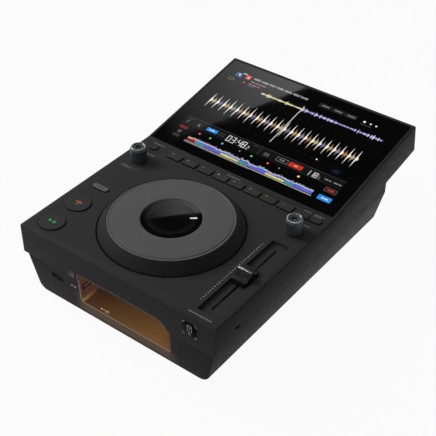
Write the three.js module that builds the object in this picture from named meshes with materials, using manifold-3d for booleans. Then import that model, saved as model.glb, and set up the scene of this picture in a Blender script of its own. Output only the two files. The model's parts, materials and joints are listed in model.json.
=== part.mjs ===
import * as THREE from 'three';
import { mergeVertices } from 'three/addons/utils/BufferGeometryUtils.js';
import Module from 'manifold-3d';

// A compact tabletop DJ media player: a bent upper case with the panel and a tilted touch screen,
// a tapered lower case with a lit storage recess, and a jog wheel round a fixed centre display.
// Millimetres. While a piece is modelled, x runs right from the middle of the case, y runs back
// from the front edge, and z runs up from the surface of the main panel.

// Upper case
const sideStrip = 48.2;
const frontStrip = 13.8;
const keyRowFrontStrip = 19.6;
const keyRowRearStrip = 13.8;
const screenLength = 167.9;
const screenTilt = 9.35;
const caseThickness = 36;
const caseWall = 2.6;
const caseEdgeRadius = 1.6;
const underlayThickness = 1.8;

// Lower case
const lowerHeight = 46.6;
const rearOverhang = 54.08;
const lowerSideInset = 3.1;
const lowerSideTaper = 11.3;
const lowerFrontInset = 1.9;
const lowerFrontTaper = 2.8;
const lowerSweepRadius = 11;
const lowerEdgeRadius = 2.4;
const pocketCornerRadius = 6;
const lowerWall = 2.6;
const lowerFloor = 3.6;
const shoulderThickness = 2.4;
const shoulderLip = 0.4;
const rimWidth = 8;
const rimLap = 6;

// Base plate and feet
const plateThickness = 1.2;
const ventCount = 5;
const ventWidth = 2.6;
const ventLength = 34;
const ventPitch = 7;
const footHeight = 6;
const footRadius = 9;
const footTopRadius = 8;
const footSpigotRadius = 4;
const footInset = 15;

// Clearances
const seatGap = 0.3;
const slideGap = 0.4;
const cutOverrun = 5;

// Storage recess
const recessWidth = 116;
const recessCentre = 9;
const recessFloor = 66;
const recessCeiling = 27.5;
const recessDepth = 80;
const recessWall = 2;
const recessSmallRadius = 2.4;
const recessLargeRadius = 14;

// Jog wheel
const jogOpeningRadius = 76.8;
const jogRunningGap = 1.2;
const jogHeight = 11.6;
const jogLipHeight = 0.8;
const jogSlopeWidth = 9.2;
const jogRimWidth = 0.7;
const jogWall = 2.2;
const jogSkirtDepth = 6;
const jogRingWidth = 2.4;
const jogPlateThickness = 1.2;
const jogRingDrop = 0.3;
const jogWellRadius = 31.4;
const jogHubWall = 2.2;
const jogHubDepth = 9;
const jogRibCount = 8;
const jogRibHeight = 5;
const jogLensDrop = 0.7;
const jogLensThickness = 1.2;
const jogDisplayThickness = 4;
const jogDisplayInset = 2.4;
const spindleFlangeThickness = 1.6;
const spindleRadius = 24;
const spindleWall = 4;
const bearingWidth = 2.4;
const bearingHeight = 5.4;
const bearingPlay = 1;
const encoderWidth = 12;
const encoderThickness = 0.8;
const encoderSlotCount = 8;
const encoderSlotWidth = 1.6;
const encoderSlotLength = 5;
const encoderSeatWidth = 3.4;
const encoderSeatHeight = 1.2;
const jogBaseDepth = 14;
const jogBaseThickness = 1.5;
const jogBaseMargin = 18.8;
const jogArmCount = 4;
const jogArmWidth = 14;
const jogArmReach = 7.2;
const jogBossRadius = 4;

// Buttons of the panel
const buttonGap = 0.4;
const buttonTravel = 1.2;
const buttonRise = 1.5;
const buttonFlange = 1.2;
const buttonFlangeThickness = 1.2;
const buttonChamfer = 0.5;
const buttonStemRadius = 1.8;
const buttonStemLength = 4.2;
const columnInset = 24.4;
const transportRadius = 13.5;
const playY = 22.6;
const cueSpacing = 38.4;
const modeSpacing = 33.9;
const modeWidth = 20.7;
const modeDepth = 6.7;
const roundKeyInset = 21;
const roundKeyRadius = 4.8;
const padCount = 8;
const padRowInset = 42.3;
const padDepth = 10.3;
const padGap = 3.05;
const padRadius = 0.8;
const navInset = 21.8;
const navWidth = 14.3;
const navDepth = 8.6;
const navSplit = 0.8;
const navFlange = 0.3;

// Stop button in the front wall
const stopSpacing = 7.5;
const stopDepth = 29.5;
const stopSize = 5.8;
const stopTravel = 0.8;
const stopRise = 0.4;

// Tempo fader
const tempoInset = 21.85;
const troughFrontMargin = 13.3;
const troughRearMargin = 13.5;
const capEndGap = 0.6;
const troughWidth = 19.5;
const troughDepth = 3.5;
const troughWall = 1.2;
const troughRadius = 1.2;
const slotWidth = 2.2;
const stemLength = 5.9;
const stemPlay = 0.2;
const trackWidth = 14;
const trackHeight = 10;
const trackWall = 1.2;
const carriageLength = 12;
const capWidth = 16.5;
const capLength = 23.6;
const capRidge = 8.8;
const capRidgeWidth = 2.2;
const capValley = 2.6;
const capLip = 3.4;
const capLipLength = 1.6;
const capSkirt = 2.5;
const capSocketDepth = 6.5;

// Knobs
const knobInset = 22.6;
const knobRowSpacing = 28.1;
const knobGap = 1;
const knobHeight = 17;
const knobRadius = 9.3;
const knobBaseRadius = 8.7;
const knobTopRadius = 7.7;
const knobChamferHeight = 2.5;
const knobDishRadius = 5.8;
const knobDishDepth = 0.8;
const knobFluteCount = 16;
const knobFluteDepth = 0.28;
const shaftRadius = 3;
const shaftCover = 3;
const bushingRadius = 4.4;
const bushingHeight = 0.6;
const potSize = 16;
const potHeight = 8;
const potFloor = 1.4;
const pressTravel = 0.6;
const plungerRadius = 4.6;
const plungerHeight = 1.6;

// Touch screen, measured along and square to the tilted part
const glassMarginX = 3.85;
const glassStart = 1.3;
const glassLength = 162.2;
const glassThickness = 1.8;
const glassDrop = 0.1;
const glassRadius = 1.2;
const displayMarginX = 12;
const displayLength = 147;
const displayStart = 8.2;
const displayThickness = 6;
const bracketThickness = 1.2;
const bracketMargin = 4;
const bracketWindowWidth = 60;
const bracketWindowLength = 90;

// Circuit boards
const boardThickness = 1.6;
const keyBoardDrop = 12;
const keyBoardMargin = 3.4;
const keyBoardReach = 15.1;
const switchSize = 6;
const postRadius = 2.6;
const mainBoardLift = 7;
const boardFrontGap = 15;
const boardRearGap = 18;
const powerBoardWidth = 72;
const powerBoardLength = 140;
const boardSplit = 8;
const chipSize = 24;
const chipHeight = 4;
const heatSinkFinCount = 6;
const heatSinkFinHeight = 9;
const heatSinkFinThickness = 1.4;
const coilWidth = 34;
const coilLength = 40;
const coilHeight = 22;
const capacitorRadius = 8;
const capacitorHeight = 20;

// Sockets at the front
const usbShellWidth = 13.2;
const usbShellHeight = 5.8;
const usbShellLength = 14;
const usbShellWall = 0.4;
const usbBackWall = 1.4;
const usbTongueWidth = 10.6;
const usbTongueHeight = 1.8;
const usbTongueSetback = 1;
const usbOpeningWidth = 16;
const usbOpeningHeight = 7;
const usbOpeningRadius = 1;
const usbSpacing = 31.5;
const usbDepth = 49.5;
const usbSetback = 1.2;
const recessUsbY = 14.5;

// Sockets and switch at the rear
const socketProud = 0.4;
const inletInset = 47;
const inletWidth = 27;
const inletHeight = 20;
const inletMouthWidth = 23.4;
const inletMouthHeight = 16.4;
const inletMouthDepth = 15;
const inletLength = 20;
const inletPinWidth = 2;
const inletPinHeight = 4;
const inletPinSpread = 7;
const inletPinOffset = 2;
const inletRadius = 1.5;
const switchBodySize = 13;
const switchBodyLength = 14;
const switchButtonRadius = 4.6;
const switchButtonRise = 3;
const switchTravel = 2;
const linkWidth = 16;
const linkHeight = 13.4;
const linkLength = 21;
const linkMouthWidth = 11.8;
const linkMouthHeight = 8;
const linkMouthDepth = 11;
const audioInset = 51;
const jackBodyWidth = 13;
const jackBodyHeight = 13;
const jackBodyLength = 12;
const jackSpacing = 16;
const jackBarrelRadius = 4.15;
const jackBarrelLength = 9;
const jackBoreRadius = 1.7;
const jackCollarRadius = 5;

// Security slot in the right side
const lockY = 34.2;
const lockDepth = 21.7;
const lockWidth = 7;
const lockHeight = 3;

// Fineness of round forms
const wheelSides = 44;
const roundSides = 24;
const smallSides = 10;
const cornerSteps = 3;
const edgeSteps = 3;
const sweepSteps = 5;
const curveSteps = 6;
const mergeTolerance = 1e-4;

// Sizes that follow from the ones above
const halfWidth = jogOpeningRadius + sideStrip;
const caseWidth = 2 * halfWidth;
const jogY = frontStrip + jogOpeningRadius;
const keyRowY = jogY + jogOpeningRadius + keyRowFrontStrip;
const panelDepth = keyRowY + keyRowRearStrip;
const knobY = keyRowY - knobRowSpacing;
const cueY = playY + cueSpacing;
const modeY = cueY + modeSpacing;
const troughLength = knobY - knobRadius - troughRearMargin - troughFrontMargin;
const tempoY = troughFrontMargin + troughLength / 2;
const tempoTravel = troughLength - capLength - 2 * capEndGap;
const tilt = THREE.MathUtils.degToRad(screenTilt);
const bottomZ = -caseThickness - lowerHeight;
const panelHeight = caseThickness + lowerHeight + footHeight;
const screenEnd = panelDepth + screenLength;
const caseDepth = panelDepth + (screenLength - caseEdgeRadius) * Math.cos(tilt)
  + (caseThickness - caseEdgeRadius) * Math.sin(tilt) + caseEdgeRadius;
const lowerDepth = caseDepth - rearOverhang;
const floorZ = bottomZ + lowerFloor;
const jogSkirtRadius = jogOpeningRadius - jogRunningGap;
const jogTopRadius = jogSkirtRadius - jogSlopeWidth;
const jogRecessRadius = jogTopRadius - jogRimWidth;
const jogPlateRadius = jogRecessRadius - seatGap - jogRingWidth - seatGap;
const jogSeatZ = jogHeight - jogPlateThickness - seatGap;
const lensTopZ = jogHeight - jogLensDrop;
const lensRadius = jogWellRadius - slideGap;
const jogDisplayTopZ = lensTopZ - jogLensThickness - seatGap;
const spindleTopZ = jogDisplayTopZ - jogDisplayThickness - seatGap;
const spindleFlangeRadius = lensRadius - jogDisplayInset / 2;
const hubShelfZ = spindleTopZ - spindleFlangeThickness - bearingPlay;
const hubBoreRadius = spindleRadius + seatGap + bearingWidth + seatGap;
const hubRadius = jogWellRadius + jogHubWall;
const keyBoardZ = -keyBoardDrop;
const mainBoardZ = floorZ + mainBoardLift;
const socketFloorZ = mainBoardZ + boardThickness + seatGap;
const portBoardZ = -usbDepth - usbShellHeight / 2 - seatGap - boardThickness;
const trackTopZ = -troughDepth - troughWall - seatGap;
const slotLength = tempoTravel + stemLength + 2 * stemPlay;
const recessLeft = recessCentre - recessWidth / 2;
const recessRight = recessCentre + recessWidth / 2;
const stopX = stopSpacing - recessLeft;
const usbX = usbSpacing - recessLeft;
const columnX = halfWidth - columnInset;
const roundKeyX = halfWidth - roundKeyInset;
const navX = halfWidth - navInset;
const knobX = halfWidth - knobInset;
const tempoX = halfWidth - tempoInset;
const padPitch = (caseWidth - 2 * padRowInset + padGap) / padCount;
const padWidth = padPitch - padGap;
const displayWidth = caseWidth - 2 * displayMarginX;
const inletX = halfWidth - inletInset;
const audioX = halfWidth - audioInset;
const socketPitch = (inletX + audioX) / 4;
const switchX = inletX - socketPitch;
const digitalX = audioX - socketPitch;
const linkX = digitalX - socketPitch;

// The geometry kit

const wasm = await Module();
wasm.setup();

const xAxis = new THREE.Vector3(1, 0, 0);
const yAxis = new THREE.Vector3(0, 1, 0);
const zAxis = new THREE.Vector3(0, 0, 1);

// A closed mesh becomes a solid: its vertices are merged, flat triangles are dropped, and the
// faces are turned outwards where the signed volume is negative.
function toSolid(geometry) {
  const bare = geometry.clone();
  for (const name of Object.keys(bare.attributes)) {
    if (name !== 'position') bare.deleteAttribute(name);
  }
  const merged = mergeVertices(bare, mergeTolerance);
  const points = merged.attributes.position;
  const corner = merged.index.array;
  const [a, b, c] = [new THREE.Vector3(), new THREE.Vector3(), new THREE.Vector3()];
  const kept = [];
  let volume = 0;
  for (let i = 0; i < corner.length; i += 3) {
    const [p, q, r] = [corner[i], corner[i + 1], corner[i + 2]];
    if (p === q || q === r || r === p) continue;
    kept.push(p, q, r);
    a.fromBufferAttribute(points, p);
    b.fromBufferAttribute(points, q);
    c.fromBufferAttribute(points, r);
    volume += a.dot(b.cross(c));
  }
  if (volume < 0) {
    for (let i = 0; i < kept.length; i += 3) [kept[i], kept[i + 1]] = [kept[i + 1], kept[i]];
  }
  return new wasm.Manifold(new wasm.Mesh({
    numProp: 3,
    vertProperties: new Float32Array(points.array),
    triVerts: new Uint32Array(kept),
  }));
}

function toGeometry(solid) {
  const mesh = solid.getMesh();
  const geometry = new THREE.BufferGeometry();
  geometry.setAttribute('position', new THREE.BufferAttribute(new Float32Array(mesh.vertProperties), 3));
  geometry.setIndex(new THREE.BufferAttribute(new Uint32Array(mesh.triVerts), 1));
  const flat = geometry.toNonIndexed();
  flat.computeVertexNormals();
  return flat;
}

function united(solids) {
  return solids.reduce((whole, solid) => whole.add(solid));
}

function cutBy(solid, tools) {
  return tools.reduce((rest, tool) => rest.subtract(tool), solid);
}

function block([left, right], [front, back], [bottom, top]) {
  const geometry = new THREE.BoxGeometry(right - left, back - front, top - bottom);
  return toSolid(geometry.translate((left + right) / 2, (front + back) / 2, (bottom + top) / 2));
}

function around(centre, size) {
  return [centre - size / 2, centre + size / 2];
}

// Points of a rectangle with round corners. radii go front left, front right, back right, back left.
function roundedPoints([left, right], [front, back], radii) {
  const [frontLeft, frontRight, backRight, backLeft] = Array.isArray(radii) ? radii : Array(4).fill(radii);
  const corners = [
    [right - frontRight, front + frontRight, frontRight, -0.5],
    [right - backRight, back - backRight, backRight, 0],
    [left + backLeft, back - backLeft, backLeft, 0.5],
    [left + frontLeft, front + frontLeft, frontLeft, 1],
  ];
  const points = [];
  for (const [x, y, radius, turn] of corners) {
    for (let step = 0; step <= cornerSteps; step += 1) {
      const angle = Math.PI * (turn + step / cornerSteps / 2);
      points.push([x + radius * Math.cos(angle), y + radius * Math.sin(angle)]);
    }
  }
  return points;
}

function outlineOf(points) {
  const distinct = points.filter(([x, y], i) => {
    const [nextX, nextY] = points[(i + 1) % points.length];
    return Math.hypot(nextX - x, nextY - y) > mergeTolerance;
  });
  return new THREE.Shape(distinct.map(([x, y]) => new THREE.Vector2(x, y)));
}

// An outline in x and y, carried up.
function upward(points, [bottom, top]) {
  const geometry = new THREE.ExtrudeGeometry(outlineOf(points), { depth: top - bottom, bevelEnabled: false });
  return toSolid(geometry.translate(0, 0, bottom));
}

// An outline in y and z, carried to the right.
function across(points, [left, right]) {
  const geometry = new THREE.ExtrudeGeometry(outlineOf(points), { depth: right - left, bevelEnabled: false });
  geometry.applyMatrix4(new THREE.Matrix4().makeBasis(yAxis, zAxis, xAxis));
  return toSolid(geometry.translate(left, 0, 0));
}

// An outline in x and z, carried back.
function backward(points, [front, back]) {
  const geometry = new THREE.ExtrudeGeometry(outlineOf(points), { depth: back - front, bevelEnabled: false });
  return toSolid(geometry.rotateX(Math.PI / 2).translate(0, back, 0));
}

// A profile of radius and height, turned about a vertical axis.
function turned(profile, sides = roundSides) {
  const closed = [...profile, profile[0]];
  const geometry = new THREE.LatheGeometry(closed.map(([r, z]) => new THREE.Vector2(r, z)), sides);
  return toSolid(geometry.rotateX(Math.PI / 2));
}

function disc(radius, [bottom, top], sides = roundSides) {
  return turned([[0, bottom], [radius, bottom], [radius, top], [0, top]], sides);
}

function ring(inner, outer, [bottom, top], sides = roundSides) {
  return turned([[inner, bottom], [outer, bottom], [outer, top], [inner, top]], sides);
}

// A pin or barrel that points back.
function rearwardDisc(radius, [front, back], sides = smallSides) {
  return disc(radius, [-back, -front], sides).rotate([90, 0, 0]);
}

// A skin through rings of points that have the same count, closed at both ends.
function lofted(rings) {
  const count = rings[0].length;
  const index = [];
  for (let level = 0; level + 1 < rings.length; level += 1) {
    for (let i = 0; i < count; i += 1) {
      const a = level * count + i;
      const b = level * count + (i + 1) % count;
      index.push(a, b, b + count, a, b + count, a + count);
    }
  }
  const last = (rings.length - 1) * count;
  for (let i = 1; i + 1 < count; i += 1) {
    index.push(0, i + 1, i, last, last + i, last + i + 1);
  }
  const geometry = new THREE.BufferGeometry();
  geometry.setAttribute('position', new THREE.Float32BufferAttribute(rings.flat(2), 3));
  geometry.setIndex(index);
  return toSolid(geometry);
}

// Places on the bent case

// The point that lies some way along the top surface, from the front edge, and some way below it.
function surfacePoint(along, depth) {
  if (along < panelDepth) return [along, -depth];
  if (along === panelDepth) return [panelDepth + depth * Math.tan(tilt / 2), -depth];
  const run = along - panelDepth;
  return [
    panelDepth + run * Math.cos(tilt) + depth * Math.sin(tilt),
    run * Math.sin(tilt) - depth * Math.cos(tilt),
  ];
}

// A bent layer between two depths, from the front to some way along.
function layer([left, right], [front, end], [upper, lower]) {
  return across([
    surfacePoint(front, lower), surfacePoint(panelDepth, lower), surfacePoint(end, lower),
    surfacePoint(end, upper), surfacePoint(panelDepth, upper), surfacePoint(front, upper),
  ], [left, right]);
}

// Everything above a depth.
function above(depth) {
  const [farY, farZ] = surfacePoint(screenEnd + cutOverrun, depth);
  const highZ = farZ + caseThickness;
  return across([
    surfacePoint(-cutOverrun, depth), surfacePoint(panelDepth, depth), [farY, farZ],
    [farY, highZ], [-cutOverrun, highZ],
  ], [-halfWidth, halfWidth]);
}

// Height of the underside of the upper case over a place behind the fold.
function undersideZ(y) {
  return (y - panelDepth - caseThickness * Math.tan(tilt / 2)) * Math.tan(tilt) - caseThickness;
}

const screenPlace = new THREE.Matrix4().makeRotationX(tilt).setPosition(0, panelDepth, 0);

// A solid of the screen part, turned into the frame of the case.
function onScreen(solid) {
  return solid.transform(screenPlace.elements);
}

// How much of the lower case's height lies above a height, as a share.
function lowerShare(z) {
  return (-caseThickness - z) / lowerHeight;
}

// The lower case's half width at a height, before its sides round into the underside.
function lowerHalfWidth(z) {
  return halfWidth - lowerSideInset - lowerSideTaper * Math.max(lowerShare(z), 0);
}

function lowerFrontY(z) {
  return lowerFrontInset + lowerFrontTaper * lowerShare(z);
}

const lowerLean = Math.atan(lowerSideTaper / lowerHeight);
const lowerSweepX = lowerHalfWidth(bottomZ + lowerSweepRadius) - lowerSweepRadius / Math.cos(lowerLean);

// The lower case's outline seen from the front, drawn in by a distance: leaning sides that round
// into a flat bottom.
function lowerOutline(inset, bottom, top) {
  const radius = lowerSweepRadius - inset;
  const centreZ = bottom + radius;
  const centreX = lowerHalfWidth(centreZ) - lowerSweepRadius / Math.cos(lowerLean);
  const sideX = lowerHalfWidth(-caseThickness) - inset / Math.cos(lowerLean);
  const right = [[sideX, top], [sideX, -caseThickness]];
  for (let step = 0; step <= sweepSteps; step += 1) {
    const angle = lowerLean + (Math.PI / 2 - lowerLean) * step / sweepSteps;
    right.push([centreX + radius * Math.cos(angle), centreZ - radius * Math.sin(angle)]);
  }
  return [...right, ...right.map(([x, z]) => [-x, z]).reverse()];
}

// The model and its materials

const player = new THREE.Group();
player.position.set(0, (stopRise - caseDepth) / 2, panelHeight);
const screenGroup = new THREE.Group();
screenGroup.position.set(0, panelDepth, 0);
screenGroup.rotation.x = tilt;
player.add(screenGroup);
const jogGroup = new THREE.Group();
jogGroup.position.set(0, jogY, 0);
player.add(jogGroup);

function finish(color, roughness, metalness = 0) {
  return new THREE.MeshStandardMaterial({ color, roughness, metalness });
}

const casePlastic = finish(0x3f4042, 0.55);
const lowerPlastic = finish(0x303133, 0.6);
const amberPlastic = finish(0xa8702f, 0.4);
const jogSkirtPlastic = finish(0x1e1f21, 0.6);
const jogAluminium = finish(0x58595b, 0.45, 0.7);
const jogRingMetal = finish(0x6a6b6e, 0.35, 0.8);
const blackGlass = finish(0x050506, 0.08);
const knobPlastic = finish(0x4a4e55, 0.5);
const keyPlastic = finish(0x434446, 0.5);
const paleKeyPlastic = finish(0x8c8d8f, 0.5);
const blackPlastic = finish(0x101112, 0.5);
const rubber = finish(0x17181a, 0.85);
const steel = finish(0x9a9b9d, 0.4, 0.9);
const boardGreen = finish(0x1e4a33, 0.6);
const socketSteel = finish(0xb5b6b8, 0.3, 0.9);

function addPiece(name, solid, material, parent = player, [x, y, z] = [0, 0, 0]) {
  const mesh = new THREE.Mesh(toGeometry(solid), material);
  mesh.name = name;
  mesh.position.set(x, y, z);
  parent.add(mesh);
}

// Buttons of the panel: a cap with a chamfered top edge, a flange that the panel stops, and a stem

// outline(grow) gives the cap's points, grown all round.
function keySolid(outline, flange = buttonFlange) {
  const underPanelZ = -caseWall - seatGap;
  const flangeZ = underPanelZ - buttonFlangeThickness;
  return united([
    upward(outline(0), [underPanelZ - buttonFlangeThickness / 2, buttonRise - buttonChamfer]),
    lofted([
      outline(0).map(([x, y]) => [x, y, buttonRise - buttonChamfer]),
      outline(-buttonChamfer).map(([x, y]) => [x, y, buttonRise]),
    ]),
    upward(outline(flange), [flangeZ, underPanelZ]),
    disc(buttonStemRadius, [flangeZ - buttonStemLength, flangeZ], smallSides),
  ]);
}

function keyHole(outline) {
  return upward(outline(buttonGap), [-caseWall - cutOverrun, cutOverrun]);
}

function rectangleKey(width, depth, radii) {
  return (grow) => {
    const grown = [radii].flat().map((radius) => Math.max(radius + grow, padRadius / 4));
    return roundedPoints(around(0, width + 2 * grow), around(0, depth + 2 * grow),
      grown.length === 1 ? grown[0] : grown);
  };
}

function roundKey(radius) {
  return (grow) => {
    const points = [];
    for (let i = 0; i < roundSides; i += 1) {
      const angle = 2 * Math.PI * i / roundSides;
      points.push([(radius + grow) * Math.cos(angle), (radius + grow) * Math.sin(angle)]);
    }
    return points;
  };
}

const navRadius = navDepth / 2;
const navReach = (navWidth + navSplit) / 2;
const keys = [
  { name: 'play_button', outline: roundKey(transportRadius), x: -columnX, y: playY, material: keyPlastic },
  { name: 'cue_button', outline: roundKey(transportRadius), x: -columnX, y: cueY, material: keyPlastic },
  {
    name: 'mode_button',
    outline: rectangleKey(modeWidth, modeDepth, modeDepth / 2),
    x: -columnX,
    y: modeY,
    material: paleKeyPlastic,
  },
  { name: 'search_button', outline: roundKey(roundKeyRadius), x: -roundKeyX, y: keyRowY, material: keyPlastic },
  {
    name: 'shift_button_left',
    outline: rectangleKey(navWidth, navDepth, [navRadius, padRadius, padRadius, navRadius]),
    x: navX - navReach,
    y: keyRowY,
    material: keyPlastic,
    flange: navFlange,
  },
  {
    name: 'shift_button_right',
    outline: rectangleKey(navWidth, navDepth, [padRadius, navRadius, navRadius, padRadius]),
    x: navX + navReach,
    y: keyRowY,
    material: keyPlastic,
    flange: navFlange,
  },
];
for (let i = 0; i < padCount; i += 1) {
  keys.push({
    name: `pad_button_${i + 1}`,
    outline: rectangleKey(padWidth, padDepth, padRadius),
    x: (i - (padCount - 1) / 2) * padPitch,
    y: keyRowY,
    material: keyPlastic,
  });
}
for (const key of keys) {
  addPiece(key.name, keySolid(key.outline, key.flange), key.material, player, [key.x, key.y, 0]);
}

// Stop button: a small square cap in the front wall, pressed backwards

const stopFlangeY = caseWall + seatGap;
addPiece('stop_button', united([
  block(around(0, stopSize), [-stopRise, stopFlangeY + buttonFlangeThickness / 2], around(0, stopSize)),
  block(around(0, stopSize + 2 * buttonFlange), [stopFlangeY, stopFlangeY + buttonFlangeThickness],
    around(0, stopSize + 2 * buttonFlange)),
]), blackPlastic, player, [-stopX, 0, -stopDepth]);

// Storage recess: a lit lining with one large round corner, trimmed to the slope of the front

function recessPoints(grow) {
  return roundedPoints(
    [recessLeft - grow, recessRight + grow],
    [-recessFloor - grow, -recessCeiling + grow],
    [recessSmallRadius + grow, recessSmallRadius + grow, recessLargeRadius + grow, recessSmallRadius + grow],
  );
}

function usbSlot(grow) {
  return roundedPoints(around(0, usbOpeningWidth + 2 * grow), around(0, usbOpeningHeight + 2 * grow),
    usbOpeningRadius + grow);
}

const frontTrim = across([
  [-cutOverrun, cutOverrun], [seatGap, cutOverrun], [seatGap, -caseThickness],
  [lowerFrontInset + seatGap, -caseThickness], [lowerFrontY(bottomZ) + seatGap, bottomZ - cutOverrun],
  [-cutOverrun, bottomZ - cutOverrun],
], [-halfWidth, halfWidth]);
const recessUsbSlot = across(
  usbSlot(0).map(([y, z]) => [y + recessUsbY, z - usbDepth]),
  [recessLeft - recessWall - cutOverrun, recessLeft + recessWall],
);
addPiece('recess_lining', cutBy(backward(recessPoints(recessWall), [0, recessDepth]), [
  backward(recessPoints(0), [-cutOverrun, recessDepth - recessWall]),
  frontTrim,
  recessUsbSlot,
]), amberPlastic);
const recessNotch = backward(recessPoints(recessWall + seatGap), [-cutOverrun, recessDepth + seatGap]);

// Jog wheel: the platter turns on a bearing round a fixed spindle that carries the centre display

function jogPlatter() {
  const skirtInner = jogSkirtRadius - jogWall;
  const webUnderZ = jogSeatZ - jogWall;
  const seat = hubRadius + encoderSeatWidth;
  const body = turned([
    [jogSkirtRadius, -jogSkirtDepth],
    [jogSkirtRadius, jogLipHeight],
    [jogTopRadius, jogHeight],
    [jogRecessRadius, jogHeight],
    [jogRecessRadius, jogSeatZ],
    [jogWellRadius, jogSeatZ],
    [jogWellRadius, hubShelfZ],
    [hubBoreRadius, hubShelfZ],
    [hubBoreRadius, -jogHubDepth],
    [seat, -jogHubDepth],
    [seat, encoderSeatHeight - jogHubDepth],
    [hubRadius, encoderSeatHeight - jogHubDepth],
    [hubRadius, webUnderZ],
    [jogTopRadius - jogWall, webUnderZ],
    [skirtInner, jogLipHeight - jogWall / 2],
    [skirtInner, -jogSkirtDepth],
  ], wheelSides);
  const ribs = [];
  for (let i = 0; i < jogRibCount; i += 1) {
    ribs.push(block(
      [hubRadius - jogHubWall / 2, jogTopRadius - jogWall],
      around(0, jogWall),
      [webUnderZ - jogRibHeight, webUnderZ + jogWall / 2],
    ).rotate([0, 0, 360 * i / jogRibCount]));
  }
  return united([body, ...ribs]);
}

function encoderDisc() {
  const inner = hubRadius + seatGap;
  const bottom = encoderSeatHeight - jogHubDepth + seatGap;
  const plain = ring(inner, inner + encoderWidth, [bottom, bottom + encoderThickness], roundSides);
  const slots = [];
  const slotStart = inner + encoderWidth - encoderSlotWidth - encoderSlotLength;
  for (let i = 0; i < encoderSlotCount; i += 1) {
    slots.push(block(
      [slotStart, slotStart + encoderSlotLength],
      around(0, encoderSlotWidth),
      around(bottom, cutOverrun),
    ).rotate([0, 0, 360 * i / encoderSlotCount]));
  }
  return cutBy(plain, slots);
}

function jogSpindle() {
  const inner = spindleRadius - spindleWall;
  const shoulder = spindleRadius + bearingWidth;
  const bearingSeatZ = hubShelfZ - bearingPlay - bearingHeight - seatGap;
  return turned([
    [inner, seatGap - jogBaseDepth],
    [shoulder, seatGap - jogBaseDepth],
    [shoulder, bearingSeatZ],
    [spindleRadius, bearingSeatZ],
    [spindleRadius, spindleTopZ - spindleFlangeThickness],
    [spindleFlangeRadius, spindleTopZ - spindleFlangeThickness],
    [spindleFlangeRadius, spindleTopZ],
    [inner, spindleTopZ],
  ]);
}

function jogArms(width, [start, end], levels) {
  const arms = [];
  for (let i = 0; i < jogArmCount; i += 1) {
    arms.push(block([start, end], around(0, width), levels).rotate([0, 0, 360 * (i + 0.5) / jogArmCount]));
  }
  return arms;
}

function jogBossPlaces() {
  const places = [];
  for (let i = 0; i < jogArmCount; i += 1) {
    const angle = 2 * Math.PI * (i + 0.5) / jogArmCount;
    places.push([
      (jogOpeningRadius + jogArmReach) * Math.cos(angle),
      (jogOpeningRadius + jogArmReach) * Math.sin(angle),
    ]);
  }
  return places;
}

const jogBaseLevels = [-jogBaseDepth - jogBaseThickness, -jogBaseDepth];
const jogBaseRadius = jogOpeningRadius - jogBaseMargin;
const armEnd = jogOpeningRadius + jogArmReach + jogBossRadius;
addPiece('jog_platter', jogPlatter(), jogSkirtPlastic, jogGroup);
addPiece('jog_top_plate', ring(jogWellRadius, jogPlateRadius, [jogSeatZ + seatGap, jogHeight], wheelSides),
  jogAluminium, jogGroup);
addPiece('jog_ring', ring(jogPlateRadius + seatGap, jogRecessRadius - seatGap,
  [jogSeatZ + seatGap, jogHeight - jogRingDrop], wheelSides), jogRingMetal, jogGroup);
addPiece('jog_lens', disc(lensRadius, [lensTopZ - jogLensThickness, lensTopZ]), blackGlass, jogGroup);
addPiece('jog_display', disc(lensRadius - jogDisplayInset,
  [jogDisplayTopZ - jogDisplayThickness, jogDisplayTopZ]), blackPlastic, jogGroup);
addPiece('jog_spindle', jogSpindle(), steel, jogGroup);
addPiece('jog_bearing', ring(spindleRadius + seatGap, spindleRadius + seatGap + bearingWidth,
  [hubShelfZ - bearingPlay - bearingHeight, hubShelfZ - bearingPlay]), socketSteel, jogGroup);
addPiece('jog_encoder_disc', encoderDisc(), steel, jogGroup);
addPiece('jog_base', cutBy(
  united([disc(jogBaseRadius, jogBaseLevels), ...jogArms(jogArmWidth, [0, armEnd], jogBaseLevels)]),
  [disc(spindleRadius - spindleWall, [-jogBaseDepth - cutOverrun, -jogBaseDepth + cutOverrun])],
), steel, jogGroup);

// Tempo fader: cap and stem on a carriage that runs in a channel under the trough

function faderCap() {
  const half = capLength / 2;
  const valleyY = half - capLipLength;
  const slope = [];
  for (let step = 0; step <= curveSteps; step += 1) {
    const share = step / curveSteps;
    slope.push([
      capRidgeWidth / 2 + (valleyY - capRidgeWidth / 2) * share,
      capValley + (capRidge - capValley) * (1 - share) ** 2,
    ]);
  }
  const backHalf = [...slope, [valleyY + capLipLength / 2, capLip], [half, capLip], [half, -capSkirt]];
  const frontHalf = backHalf.map(([y, z]) => [-y, z]).reverse();
  const body = across([...frontHalf, ...backHalf], around(0, capWidth));
  const socket = block(
    around(0, slotWidth - 2 * slideGap + 2 * seatGap),
    around(0, stemLength + 2 * seatGap),
    [-capSkirt - cutOverrun, capSocketDepth - capSkirt],
  );
  return body.subtract(socket);
}

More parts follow.
